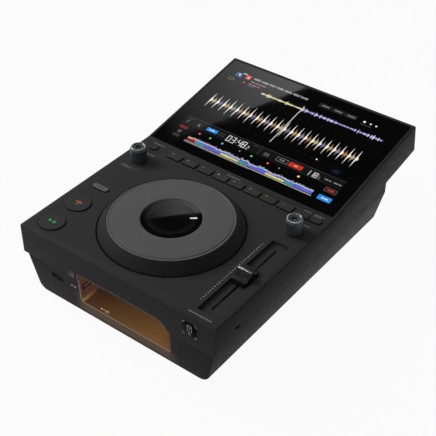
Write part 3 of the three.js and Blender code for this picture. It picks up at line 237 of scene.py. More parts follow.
def new_piece(name: str, surface: Surface, material: Material, body: str, sharp: float = CRISP) -> Object:
    """Makes a surface an object that rides on a body.

    Doubled points are merged, so that seams and poles close, and the normals are then turned outwards.

    Args:
        name: The object's name.
        surface: Points in millimetres and faces.
        material: The finish.
        body: The CAD body that it rides on.
        sharp: Edges that turn more than this many degrees stay crisp.

    Returns:
        The new object.
    """
    mesh = bpy.data.meshes.new(name)
    faces = [list(dict.fromkeys(face)) for face in surface.faces.tolist()]
    mesh.from_pydata((surface.points * METRES).tolist(), [], faces)
    if surface.corners is not None:
        layer = mesh.uv_layers.new(name="own_map")
        layer.data.foreach_set("uv", surface.corners.reshape(-1).astype(np.float32))
    shell = bmesh.new()
    shell.from_mesh(mesh)
    bmesh.ops.remove_doubles(shell, verts=shell.verts, dist=1e-7)
    bmesh.ops.recalc_face_normals(shell, faces=shell.faces)
    shell.to_mesh(mesh)
    shell.free()
    mesh.shade_smooth()
    mesh.set_sharp_from_angle(angle=math.radians(sharp))
    mesh.materials.append(material)
    piece = bpy.data.objects.new(name, mesh)
    bpy.context.scene.collection.objects.link(piece)
    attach(piece, body)
    return piece


BODY_OF = {node: body for body, nodes in frame["record"]["behaviour"]["bodies"].items() for node in nodes}


def box_of(node: str) -> tuple[Array, Array]:
    """Gives a CAD node's lowest and highest corners in millimetres."""
    low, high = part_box(node)
    return np.array(low) / METRES, np.array(high) / METRES


def axis_of(node: str) -> Pair:
    """Gives where the middle of a CAD node is in x and y."""
    low, high = box_of(node)
    return (low[0] + high[0]) / 2, (low[1] + high[1]) / 2


def stands_for(piece: Object, node: str) -> Object:
    """Makes a piece take the place of a CAD node by hiding the node."""
    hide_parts(node)
    return piece


def dressed(node: str, surface: Surface, material: Material, sharp: float = 30) -> Object:
    """Makes a surface the piece that stands for a CAD node, on the node's own body."""
    return stands_for(new_piece(f"{node}_dressed", surface, material, BODY_OF[node], sharp), node)


def refined(node: str, material: Material, soften: float, merge: float = 0.002) -> Object:
    """Replaces a CAD node by a merged copy of its own mesh with softened edges.

    Args:
        node: The CAD node.
        material: The finish.
        soften: Width of the bevel on its edges.
        merge: Points closer than this are merged first, because a soft edge folds over where an edge is shorter.

    Returns:
        The new object.
    """
    mesh = frame["nodes"][node].data.copy()
    shell = bmesh.new()
    shell.from_mesh(mesh)
    bmesh.ops.remove_doubles(shell, verts=shell.verts, dist=merge * METRES)
    bmesh.ops.dissolve_limit(shell, angle_limit=math.radians(0.6), verts=shell.verts, edges=shell.edges)
    shell.to_mesh(mesh)
    shell.free()
    mesh.materials.clear()
    mesh.materials.append(material)
    mesh.shade_smooth()
    mesh.set_sharp_from_angle(angle=math.radians(CRISP))
    piece = bpy.data.objects.new(f"{node}_dressed", mesh)
    bpy.context.scene.collection.objects.link(piece)
    bevel = piece.modifiers.new("soft_edges", "BEVEL")
    bevel.width = soften * METRES
    bevel.segments = 2
    bevel.limit_method = "ANGLE"
    bevel.angle_limit = math.radians(CRISP)
    bevel.use_clamp_overlap = False
    bevel.harden_normals = True
    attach(piece, BODY_OF[node])
    return stands_for(piece, node)


class Shader:
    """A node tree under one principled shader, with short calls for what the finishes share."""

    def __init__(self, name: str) -> None:
        """Starts a material with object coordinates at hand."""
        self.material = bpy.data.materials.new(name)
        self.material.use_nodes = True
        self.nodes = self.material.node_tree.nodes
        self.links = self.material.node_tree.links
        self.surface = self.nodes["Principled BSDF"]
        self.place = self.nodes.new("ShaderNodeTexCoord").outputs["Object"]

    def give(self, **values: float | Sequence[float]) -> None:
        """Sets plain values on the shader's own sockets, named with underscores for spaces."""
        for name, value in values.items():
            self.surface.inputs[name.replace("_", " ")].default_value = value

    def join(self, output: Socket, name: str) -> None:
        """Links an output to one of the shader's sockets."""
        self.links.new(output, self.surface.inputs[name])

    def noise(self, pitch: float, detail: float = 2, source: Socket | None = None) -> Socket:
        """Adds a noise pattern.

        Args:
            pitch: Size of its cells in millimetres.
            detail: Octaves of finer cells.
            source: Coordinates, or the object's own.

        Returns:
            The pattern's value from 0 to 1.
        """
        node = self.nodes.new("ShaderNodeTexNoise")
        node.inputs["Scale"].default_value = 1 / (pitch * METRES)
        node.inputs["Detail"].default_value = detail
        self.links.new(source or self.place, node.inputs["Vector"])
        return node.outputs["Fac"]

    def moved(self, scale: Place, centre: Place = (0, 0, 0)) -> Socket:
        """Scales the object coordinates about a centre given in millimetres."""
        node = self.nodes.new("ShaderNodeMapping")
        node.inputs["Scale"].default_value = scale
        node.inputs["Location"].default_value = [-c * METRES * s for c, s in zip(centre, scale)]
        self.links.new(self.place, node.inputs["Vector"])
        return node.outputs["Vector"]

    def spread(self, value: Socket, low: float, high: float, start: float = 0, end: float = 1) -> Socket:
        """Carries a value from start..end to low..high and holds it there."""
        node = self.nodes.new("ShaderNodeMapRange")
        self.links.new(value, node.inputs["Value"])
        for name, number in (("From Min", start), ("From Max", end), ("To Min", low), ("To Max", high)):
            node.inputs[name].default_value = number
        return node.outputs["Result"]

    def rising(self, value: Socket, start: float, end: float) -> Socket:
        """Gives a share that rises from nothing to one between two places in millimetres."""
        return self.spread(value, 0, 1, start * METRES, end * METRES)

    def falling(self, value: Socket, start: float, end: float) -> Socket:
        """Gives a share that falls from one to nothing between two places in millimetres."""
        return self.spread(value, 1, 0, start * METRES, end * METRES)

    def within(self, value: Socket, low: float, high: float, edge: float) -> Socket:
        """Gives one between two places in millimetres, falling to nothing over an edge outside each."""
        return self.product(self.rising(value, low - edge, low), self.falling(value, high, high + edge))

    def blend(self, share: Socket, first: Paint, second: Paint) -> Socket:
        """Mixes two colours, each a colour or a socket, by a share."""
        node = self.nodes.new("ShaderNodeMix")
        node.data_type = "RGBA"
        self.links.new(share, node.inputs[0])
        for place, paint in ((6, first), (7, second)):
            if isinstance(paint, Socket):
                self.links.new(paint, node.inputs[place])
            else:
                node.inputs[place].default_value = (*paint, 1)
        return node.outputs[2]

    def shades(self, share: Socket, colour: Colour, low: float, high: float) -> Socket:
        """Mixes two shades of a colour, low times and high times itself, by a share."""
        return self.blend(share, tuple(c * low for c in colour), tuple(c * high for c in colour))

    def scaled(self, colour: Socket, share: Socket) -> Socket:
        """Multiplies a colour by a share."""
        node = self.nodes.new("ShaderNodeVectorMath")
        node.operation = "SCALE"
        self.links.new(colour, node.inputs[0])
        self.links.new(share, node.inputs["Scale"])
        return node.outputs["Vector"]

    def maths(self, operation: str, first: Socket, second: Socket | float = 0) -> Socket:
        """Adds one sum of two values, the second a socket or a number."""
        node = self.nodes.new("ShaderNodeMath")
        node.operation = operation
        self.links.new(first, node.inputs[0])
        if isinstance(second, Socket):
            self.links.new(second, node.inputs[1])
        else:
            node.inputs[1].default_value = second
        return node.outputs["Value"]

    def product(self, first: Socket, *others: Socket | float) -> Socket:
        """Multiplies a value by each of the others in turn."""
        for other in others:
            first = self.maths("MULTIPLY", first, other)
        return first

    def parts(self, vector: Socket) -> list[Socket]:
        """Splits a vector into its three parts."""
        node = self.nodes.new("ShaderNodeSeparateXYZ")
        self.links.new(vector, node.inputs["Vector"])
        return list(node.outputs)

    def sheen(self, pattern: Socket, low: float, high: float, start: float = 0.3, end: float = 0.7) -> None:
        """Lets the roughness go from low to high as a pattern goes from start to end."""
        self.join(self.spread(pattern, low, high, start, end), "Roughness")

    def raise_by(self, height: Socket, depth: float) -> None:
        """Uses a value as a relief of a depth in millimetres."""
        node = self.nodes.new("ShaderNodeBump")
        node.inputs["Distance"].default_value = depth * METRES
        node.inputs["Strength"].default_value = 1
        self.links.new(height, node.inputs["Height"])
        self.join(node.outputs["Normal"], "Normal")


@dataclass(frozen=True)
class Finish:
    """A named finish that builds its own material."""

    name: str

    def material(self) -> Material:
        """Builds the finish."""
        raise NotImplementedError


@dataclass(frozen=True)
class MouldedPlastic(Finish):
    """Moulded plastic with a fine spark-eroded grain, faint shade changes and uneven sheen."""

    colour: Colour
    roughness: float = 0.5
    specular: float = 0.2
    grain: float = 0.35
    depth: float = 0.02
    mottle: float = 0.08
    # Two heights between which the colour is painted darker, a painted shade.
    painted_shade: Pair | None = None

    def material(self) -> Material:
        """Builds the finish."""
        return self.dressed().material

    def dressed(self) -> Shader:
        """Gives grain as relief, a slow noise for shade and a mid noise for sheen.

        Where painted_shade gives two heights, the colour falls to a tenth from the second to the first, a painted
        shade.
        """
        shader = Shader(self.name)
        shade = shader.shades(shader.noise(38, 3), self.colour, 1 - self.mottle, 1 + self.mottle)
        if self.painted_shade is not None:
            # Painted shade: the colour falls to a tenth between the two heights.
            black, full = self.painted_shade
            height = shader.parts(shader.place)[2]
            shade = shader.scaled(shade, shader.spread(height, 0.1, 1, black * METRES, full * METRES))
        shader.join(shade, "Base Color")
        shader.sheen(shader.noise(7, 4), self.roughness - 0.06, self.roughness + 0.06)
        shader.give(Specular_IOR_Level=self.specular)
        shader.raise_by(shader.noise(self.grain, 3), self.depth)
        return shader


@dataclass(frozen=True)
class PaintedSpillPlastic(MouldedPlastic):
    """Moulded plastic whose lip under the recess has the warm light spilling out of it painted on as glow."""

    spill: Colour = (0.056, 0.033, 0.02)
    lip_x: Pair = (-44.0, 62.0)
    lip_y: Pair = (-172.0, -160.0)
    lip_z: Pair = (13.5, 30.0)
    beside_x: Pair = (66.5, 67.5)
    beside_z: Pair = (20.0, 24.0)

    def material(self) -> Material:
        """Builds the finish: the painted glow fades sideways, downwards and backwards, and stays off the mouth's right.
        """
        shader = self.dressed()
        x, y, z = shader.parts(shader.place)
        share = shader.product(
            shader.within(x, *self.lip_x, 16), shader.within(z, *self.lip_z, 6), shader.falling(y, *self.lip_y),
        )
        beside = shader.product(shader.rising(x, *self.beside_x), shader.rising(z, *self.beside_z))
        share = shader.maths("SUBTRACT", share, shader.product(share, beside))
        # The spill is painted light, given off as emission.
        shader.join(shader.blend(share, BLACK, self.spill), "Emission Color")
        shader.give(Emission_Strength=1.0)
        return shader.material


class Marks(Enum):
    """How a metal was worked."""

    NONE = "none"
    TURNED = "turned"
    DRAWN = "drawn"


@dataclass(frozen=True)
class WorkedMetal(Finish):
    """Metal or metal-coloured paint with the marks of its making."""

    colour: Colour
    roughness: float
    metallic: float = 1.0
    specular: float = 0.5
    marks: Marks = Marks.NONE
    centre: Place = (0, 0, 0)

    def material(self) -> Material:
        """Builds the finish: turned marks follow the distance from the centre, drawn ones run along y."""
        shader = Shader(self.name)
        depth = 0.006
        if self.marks is Marks.TURNED:
            x, y, _ = shader.parts(shader.moved((1, 1, 1), self.centre))
            ring = shader.maths("SQRT", shader.maths("ADD", shader.product(x, x), shader.product(y, y)))
            joined = shader.nodes.new("ShaderNodeCombineXYZ")
            shader.links.new(ring, joined.inputs["X"])
            grain = shader.noise(0.22, 3, joined.outputs["Vector"])
        elif self.marks is Marks.DRAWN:
            grain = shader.noise(0.3, 3, shader.moved((1, 0.03, 1)))
        else:
            grain, depth = shader.noise(0.5, 3), 0.008
        shader.join(shader.shades(shader.noise(24, 2), self.colour, 0.94, 1.06), "Base Color")
        shader.sheen(grain, self.roughness - 0.05, self.roughness + 0.06)
        shader.give(Metallic=self.metallic, Specular_IOR_Level=self.specular)
        shader.raise_by(grain, depth)
        return shader.material


@dataclass(frozen=True)
class KnurledPlastic(Finish):
    """Dark plastic with a fine crossed knurl that follows the piece's own map."""

    colour: Colour
    around: int
    pitch: float
    depth: float = 0.12
    roughness: float = 0.5
    specular: float = 0.18

    def material(self) -> Material:
        """Builds the finish: the sum of two sines that cross at an angle gives rows of small points."""
        shader = Shader(self.name)
        own = shader.nodes.new("ShaderNodeUVMap")
        own.uv_map = "own_map"
        share, length, _ = shader.parts(own.outputs["UV"])
        a = shader.product(share, self.around * 2 * math.pi)
        b = shader.product(length, 2 * math.pi / self.pitch)
        first = shader.maths("SINE", shader.maths("ADD", a, b))
        second = shader.maths("SINE", shader.maths("SUBTRACT", a, b))
        knurl = shader.spread(shader.maths("ADD", first, second), 0, 1, -2, 2)
        # The colour follows the knurl, darker in its grooves and paler on its points: painted shade and highlight.
        shader.join(shader.shades(knurl, self.colour, 0.75, 1.2), "Base Color")
        shader.sheen(shader.noise(5, 3), self.roughness - 0.05, self.roughness + 0.06)
        shader.give(Specular_IOR_Level=self.specular)
        shader.raise_by(knurl, self.depth)
        return shader.material


@dataclass(frozen=True)
class DarkGlass(Finish):
    """Black-backed cover glass with the faintest haze of handling."""

    colour: Colour = tone(3, 3, 4)
    roughness: float = 0.05
    specular: float = 0.5

    def material(self) -> Material:
        """Builds the finish: sheen wanders a little over the sheet."""
        shader = Shader(self.name)
        shader.join(shader.shades(shader.noise(60, 2), self.colour, 1, 1.3), "Base Color")
        shader.sheen(shader.noise(30, 4), self.roughness * 0.6, self.roughness * 1.5, 0.35)
        shader.give(Specular_IOR_Level=self.specular)
        return shader.material


@dataclass(frozen=True)
class PaintedAmberLight(Finish):
    """The recess lining: brown plastic with the wash of warm lamps painted on as glow, brightest towards the front
    right.

    The pairs are places in millimetres between which one part of the lining's painted light passes into the next.
    """

    colour: Colour = (0.045, 0.027, 0.015)
    # glow, dim, foot and wall are painted light given off as emission.
    glow: Colour = tone(108, 76, 42)
    dim: Colour = tone(46, 28, 18)
    foot: Colour = tone(140, 104, 64)
    wall: Colour = tone(70, 45, 34)
    # rim_body and rim paint the forward rim dark as shade; rim_left, rim_high and rim_low are painted highlights on its
    # edges.
    rim_body: Colour = tone(24, 20, 18)
    rim: Colour = tone(16, 13, 11)
    rim_left: Colour = tone(98, 82, 74)
    rim_high: Colour = tone(34, 31, 30)
    rim_low: Colour = tone(112, 90, 72)
    dark_at: Pair = (0, -128)
    bright_at: Pair = (42, -186)
    corner_x: Pair = (46, 66)
    corner_y: Pair = (-184, -168)
    wall_x: Pair = (-48.8, -47.6)
    foot_x: Pair = (-47.8, -45.6)
    foot_y: Pair = (-186, -160)
    foot_z: Pair = (23.6, 26.4)
    inside_x: Pair = (-49.15, 67.15)
    inside_y: Pair = (-107.7, -107.4)
    inside_z: Pair = (22.5, 61.2)
    roof_z: Pair = (38, 42)
    rim_y: Pair = (-165, -150)
    rim_left_x: Pair = (-48.8, -46.0)
    rim_high_z: Pair = (52.0, 52.8)
    rim_low_z: Pair = (22.2, 23.4)

    def material(self) -> Material:
        """Builds the finish.

        The painted glow rises from the dark place (x, y) to the bright one as the share to the power 1.2 and
        sinks again towards the rounded corner, a painted shade. The left wall has its own painted light,
        and its rounded foot a painted highlight that fades backwards. The rim that faces forwards is painted
        dark as shade, with painted highlights grey at the left and pale along its lower edge. The outside
        and the roof get no glow, a painted shade.
        """
        shader = Shader(self.name)
        x, y, z = shader.parts(shader.place)
        _, forward, upward = shader.parts(shader.nodes.new("ShaderNodeNewGeometry").outputs["Normal"])
        span = np.array(self.bright_at) - np.array(self.dark_at)
        scale = span / (METRES * float(span @ span))
        first = shader.product(shader.maths("SUBTRACT", x, self.dark_at[0] * METRES), float(scale[0]))
        second = shader.product(shader.maths("SUBTRACT", y, self.dark_at[1] * METRES), float(scale[1]))
        share = shader.spread(shader.maths("ADD", first, second), 0.02, 1)
        glow = shader.blend(shader.maths("POWER", share, 1.2), self.dim, self.glow)
        corner_start, corner_end = (METRES * place for place in self.corner_x)
        corner = shader.product(shader.spread(x, 0, 0.8, corner_start, corner_end), shader.rising(y, *self.corner_y))
        glow = shader.blend(corner, glow, self.dim)
        glow = shader.blend(shader.falling(x, *self.wall_x), glow, self.wall)
        foot = shader.product(
            shader.falling(x, *self.foot_x), shader.falling(z, *self.foot_z), shader.falling(y, *self.foot_y),
        )
        glow = shader.blend(foot, glow, self.foot)
        inside = shader.product(
            shader.within(x, *self.inside_x, 0.3), shader.within(z, *self.inside_z, 0.3),
            shader.falling(y, *self.inside_y),
        )
        roof = shader.product(shader.spread(upward, 0, 1, 0.02, 0.08), shader.rising(z, *self.roof_z))
        inside = shader.maths("SUBTRACT", inside, shader.product(inside, roof))
        glow = shader.blend(inside, BLACK, glow)
        rim = shader.product(shader.spread(forward, 1, 0, -0.93, -0.75), shader.falling(y, *self.rim_y))
        edge = shader.blend(shader.falling(x, *self.rim_left_x), self.rim, self.rim_left)
        edge = shader.blend(shader.rising(z, *self.rim_high_z), edge, self.rim_high)
        edge = shader.blend(shader.falling(z, *self.rim_low_z), edge, self.rim_low)
        body = shader.shades(shader.noise(14, 2), self.colour, 0.9, 1.1)
        shader.join(shader.blend(rim, body, self.rim_body), "Base Color")
        shader.join(shader.blend(rim, glow, edge), "Emission Color")
        shader.give(Emission_Strength=1.0, Specular_IOR_Level=0.2)
        shader.sheen(shader.noise(6, 3), 0.4, 0.54)
        shader.raise_by(shader.noise(0.6, 2), 0.01)
        return shader.material


@dataclass(frozen=True)
class CircuitBoard(Finish):
    """Green board with paler tracks under the mask."""

    mask: Colour = tone(14, 58, 34)
    track: Colour = tone(36, 96, 56)

    def material(self) -> Material:
        """Builds the finish: a brick pattern gives square-cornered tracks."""
        shader = Shader(self.name)
        bricks = shader.nodes.new("ShaderNodeTexBrick")
        bricks.inputs["Scale"].default_value = 160
        bricks.inputs["Mortar Size"].default_value = 0.04
        bricks.inputs["Color1"].default_value = (*self.mask, 1)
        bricks.inputs["Color2"].default_value = (*(c * 0.8 for c in self.mask), 1)
        bricks.inputs["Mortar"].default_value = (*self.track, 1)
        shader.links.new(shader.place, bricks.inputs["Vector"])
        shader.join(bricks.outputs["Color"], "Base Color")
        shader.sheen(shader.noise(3, 2), 0.25, 0.4, 0, 1)
        shader.raise_by(bricks.outputs["Fac"], -0.03)
        return shader.material


@dataclass(frozen=True)
class InkLayer(Finish):
    """Flat marks whose colour is the mesh's own ink attribute, printed or lit."""

    lit: float
    gloss: float
    specular: float

    def material(self) -> Material:
        """Builds the finish: lit marks shine by the attribute, printed ones take it as their colour."""
        shader = Shader(self.name)
        ink = shader.nodes.new("ShaderNodeAttribute")
        ink.attribute_name = "ink"
        if self.lit > 0:
            shader.join(ink.outputs["Color"], "Emission Color")
            shader.give(Emission_Strength=self.lit)
            shader.join(shader.blend(shader.noise(60, 2), tone(6, 6, 7), tone(9, 9, 10)), "Base Color")
        else:
            shader.join(ink.outputs["Color"], "Base Color")
        shader.sheen(shader.noise(30, 4), self.gloss * 0.7, self.gloss * 1.4, 0.35)
        shader.give(Specular_IOR_Level=self.specular)
        return shader.material


def made(finish: Finish) -> Material:
    """Gives a field that holds a finish's material, built when the finishes are."""
    return field(default_factory=finish.material)


JOG_CENTRE = tuple(float(part) / METRES for part in (Vector(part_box("jog_lens")[0]) + Vector(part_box("jog_lens")[1])) / 2)
CASE_GREY = (0.052, 0.052, 0.053)
# Heights between which a key's side, painted dark as shade, passes into its face.
KEY_PAINTED_SHADE = (89.44, 89.56)


@dataclass
class Finishes:
    """Every finish of the player, made once."""

    case: Material = made(MouldedPlastic("case_finish", CASE_GREY, 0.5, 0.03))
    # The lower case is painted dark along its bottom edge, a painted shade, and has a painted glow on the lip under the
    # recess.
    lower: Material = made(PaintedSpillPlastic("lower_case_finish", CASE_GREY, 0.46, 0.02, painted_shade=(5.0, 10.5)))
    # The keys' sides are painted dark below their faces, a painted shade.
    key: Material = made(MouldedPlastic(
        "key_finish", (0.048, 0.048, 0.049), 0.46, 0.12, 0.3, 0.012, 0.05, painted_shade=KEY_PAINTED_SHADE))
    # The stop key's top is painted dark over its scoop, a painted shade.
    key_front: Material = made(MouldedPlastic(
        "stop_key_finish", (0.13, 0.132, 0.13), 0.4, 0.2, 0.3, 0.008, 0.05, painted_shade=(59.6, 57.0)))
    # The pale key's sides are painted dark below its face, a painted shade.
    pale_key: Material = made(MouldedPlastic(
        "pale_key_finish", (0.17, 0.17, 0.175), 0.42, 0.2, 0.3, 0.01, 0.05, painted_shade=KEY_PAINTED_SHADE))
    knob: Material = made(MouldedPlastic("knob_finish", (0.058, 0.064, 0.073), 0.42, 0.5, 0.3, 0.008))
    black: Material = made(MouldedPlastic("black_plastic_finish", (0.008, 0.008, 0.0085), 0.4, 0.3, 0.4, 0.008))
    rubber: Material = made(MouldedPlastic("rubber_finish", (0.015, 0.015, 0.015), 0.8, 0.2, 0.5, 0.03))
    skirt: Material = made(KnurledPlastic("jog_skirt_finish", (0.013, 0.013, 0.0135), 430, 1.1))
    plate: Material = made(WorkedMetal(
        "jog_plate_finish", (0.138, 0.138, 0.14), 0.5, 0.0, 0.15, Marks.TURNED, JOG_CENTRE))
    ring: Material = made(WorkedMetal("jog_ring_finish", (0.15, 0.15, 0.153), 0.42, 0.3, 0.4, Marks.TURNED, JOG_CENTRE))
    silver: Material = made(WorkedMetal("silver_trim_finish", (0.62, 0.63, 0.64), 0.24))
    steel: Material = made(WorkedMetal("steel_finish", (0.42, 0.42, 0.43), 0.34, marks=Marks.DRAWN))
    badge: Material = made(DarkGlass("badge_finish", tone(2, 2, 3), 0.12, 0.02))
    tongue: Material = made(MouldedPlastic("socket_tongue_finish", (0.85, 0.78, 0.72), 0.42, 0.3, 0.3, 0.006))
    dark_tongue: Material = made(MouldedPlastic("dark_tongue_finish", (0.03, 0.03, 0.03), 0.42, 0.2, 0.3, 0.006))
    jack_tip: Material = made(MouldedPlastic("jack_insert_finish", (0.7, 0.7, 0.68), 0.4, 0.3, 0.3, 0.006))
    jack_red: Material = made(MouldedPlastic("red_insert_finish", (0.42, 0.02, 0.015), 0.4, 0.3, 0.3, 0.006))
    jack_orange: Material = made(MouldedPlastic("orange_insert_finish", (0.6, 0.16, 0.02), 0.4, 0.3, 0.3, 0.006))
    glass: Material = made(DarkGlass("cover_glass_finish"))
    # The recess lining's glow, shade and rim highlights are painted light.
    amber: Material = made(PaintedAmberLight("recess_finish"))
    board: Material = made(CircuitBoard("board_finish"))
    lit_ink: Material = made(InkLayer("display_ink", 1.0, 0.05, 0.5))
    lamp_ink: Material = made(InkLayer("lamp_ink", 1.0, 0.35, 0.3))
    print_ink: Material = made(InkLayer("print_ink", 0.0, 0.5, 0.2))


class Artwork:
    """Flat coloured shapes on one plane, gathered and made one mesh with an ink attribute.

    A shape's point (u, v) on level n lies at origin + u across + v along + (lift + 0.02 n) square to both.
    """

    def __init__(
        self, origin: Sequence[float], across: Sequence[float], along: Sequence[float], lift: float = 0.03,
    ) -> None:
        """Sets the plane.

        Args:
            origin: Its point (0, 0) in millimetres.
            across: Unit direction of u.
            along: Unit direction of v.
            lift: Height of level 0 over the plane.
        """
        self.origin = np.array(origin, float)
        self.across = np.array(across, float)
        self.along = np.array(along, float)
        self.out = np.cross(self.across, self.along)
        self.lift = lift
        self.shapes: list[tuple[Array, Array]] = []

    def quads(self, corners: Array, colours: Array | Colour, level: int = 0) -> None:
        """Adds four-cornered shapes.

        Args:
            corners: Shapes by four corners by (u, v), counter-clockwise.
            colours: One colour, or one for each shape.
            level: How many steps it lies over the plane.
        """
        corners = np.asarray(corners, float).reshape(-1, 4, 2)
        height = self.lift + 0.02 * level
        points = self.origin + corners[..., :1] * self.across + corners[..., 1:] * self.along + height * self.out
        shades = np.broadcast_to(np.asarray(colours, float), (len(corners), 3))
        self.shapes.append((points, np.repeat(shades[:, None], 4, 1)))

    def bars(
        self, u: Array, v: Array, width: Array | float, height: Array | float, colours: Array | Colour, level: int = 0,
    ) -> None:
        """Adds upright rectangles by their middles and sizes."""
        u, v, width, height = np.broadcast_arrays(np.atleast_1d(u).astype(float), v, width, height)
        left, right, low, high = u - width / 2, u + width / 2, v - height / 2, v + height / 2
        corners = np.stack([np.stack(p, -1) for p in ((left, low), (right, low), (right, high), (left, high))], 1)
        self.quads(corners, colours, level)

    def band(self, u: Array, low: Array, high: Array, colours: Array | Colour, level: int = 0) -> None:
        """Adds a band between two heights over a row of u, one strip between each two neighbours."""
        corners = np.stack([
            np.stack([u[:-1], low[:-1]], -1), np.stack([u[1:], low[1:]], -1),
            np.stack([u[1:], high[1:]], -1), np.stack([u[:-1], high[:-1]], -1),
        ], 1)
        self.quads(corners, colours, level)

    def loop(self, outline: Array, inner: Array, colour: Colour, level: int = 0) -> None:
        """Adds the strip between two closed outlines of equal count."""
        corners = np.stack([outline, np.roll(outline, -1, 0), np.roll(inner, -1, 0), inner], 1)
        self.quads(corners, colour, level)

    def disc(
        self, u: float, v: float, radius: float, colour: Colour, level: int = 0, inner: float = 0, sides: int = 28,
    ) -> None:
        """Adds a disc, or a ring where inner is over 0: radius times (cos a, sin a) round (u, v)."""
        angle = np.arange(sides) * 2 * np.pi / sides
        circle = np.stack([np.cos(angle), np.sin(angle)], -1)
        middle = np.array([u, v])
        self.loop(middle + radius * circle, middle + max(inner, 1e-3) * circle, colour, level)

    def chip(
        self, u: float, v: float, width: float, height: float, colour: Colour, level: int = 0,
        line: float = 0, radius: float = 0.7,
    ) -> None:
        """Adds a rectangle with rounded corners, filled or, where line is over 0, only its border."""
        outer = rounded_outline(width, height, radius, 4) + (u, v)
        if line > 0:
            inner = rounded_outline(width - 2 * line, height - 2 * line, max(radius - line, 0.1), 4) + (u, v)
        else:
            inner = (outer - (u, v)) * 1e-3 + (u, v)
        self.loop(outer, inner, colour, level)

    def dashes(
        self, u: float, v: float, widths: Sequence[float], height: float, colour: Colour, level: int = 0,
        gap: float = 0.9,
    ) -> None:
        """Adds a row of short bars that stand for a line of small marks, from u to the right."""
        widths = np.array(widths, float)
        ends = np.cumsum(widths + gap)
        self.bars(u + ends - gap - widths / 2, v, widths, height, colour, level)

    def digits(self, text: str, u: float, v: float, size: float, colour: Colour, level: int = 0) -> float:
        """Adds seven-bar figures.

        Args:
            text: Figures, with a colon or a point between them.
            u: Left end.
            v: Middle of their height.
            size: Their height.
            colour: Their colour.
            level: How many steps they lie over the plane.

        Returns:
            Where the last figure ends.
        """
        signs = ("abcdef", "bc", "abged", "abgcd", "fgbc", "afgcd", "afgedc", "abc", "abcdefg", "abcdfg")
        wide, line = size * 0.5, size * 0.085
        for sign in text:
            if sign in ":.":
                heights = (-0.2, 0.2) if sign == ":" else (-0.45,)
                for share in heights:
                    self.bars(u + line, v + share * size, line, line, colour, level)
                u += line * 3
                continue
            left, right, middle, half = u + line / 2, u + wide - line / 2, u + wide / 2, size / 2
            places = {
                "a": (middle, v + half - line / 2, wide - line, line),
                "b": (right, v + half / 2, line, half),
                "c": (right, v - half / 2, line, half),
                "d": (middle, v - half + line / 2, wide - line, line),
                "e": (left, v - half / 2, line, half),
                "f": (left, v + half / 2, line, half),
                "g": (middle, v, wide - line, line),
            }
            for bar in signs[int(sign)]:
                self.bars(*places[bar], colour, level)
            u += wide + line * 1.6
        return u

    def piece(self, name: str, material: Material, body: str, slot: str) -> Object:
        """Makes the gathered shapes one object that rides on a body.

        Args:
            name: The object's name.
            material: A finish that reads the ink attribute.
            body: The CAD body that it rides on.
            slot: The record's slot that it goes with; not used.

        Returns:
            The new object.
        """
        points = np.concatenate([p for p, _ in self.shapes]).reshape(-1, 3)
        inks = np.concatenate([c for _, c in self.shapes]).reshape(-1, 3)
        mesh = bpy.data.meshes.new(name)
        mesh.from_pydata((points * METRES).tolist(), [], np.arange(len(points)).reshape(-1, 4).tolist())
        layer = mesh.color_attributes.new(name="ink", type="FLOAT_COLOR", domain="POINT")
        layer.data.foreach_set("color", np.column_stack([inks, np.ones(len(inks))]).reshape(-1).astype(np.float32))
        mesh.materials.append(material)
        piece = bpy.data.objects.new(name, mesh)
        bpy.context.scene.collection.objects.link(piece)
        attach(piece, body)
        return piece


@dataclass
class Assembly:
    """A sub-assembly of the player, which dresses its CAD nodes and adds its small pieces."""

    finishes: Finishes

    def build(self) -> list[Object]:
        """Makes the pieces."""
        raise NotImplementedError


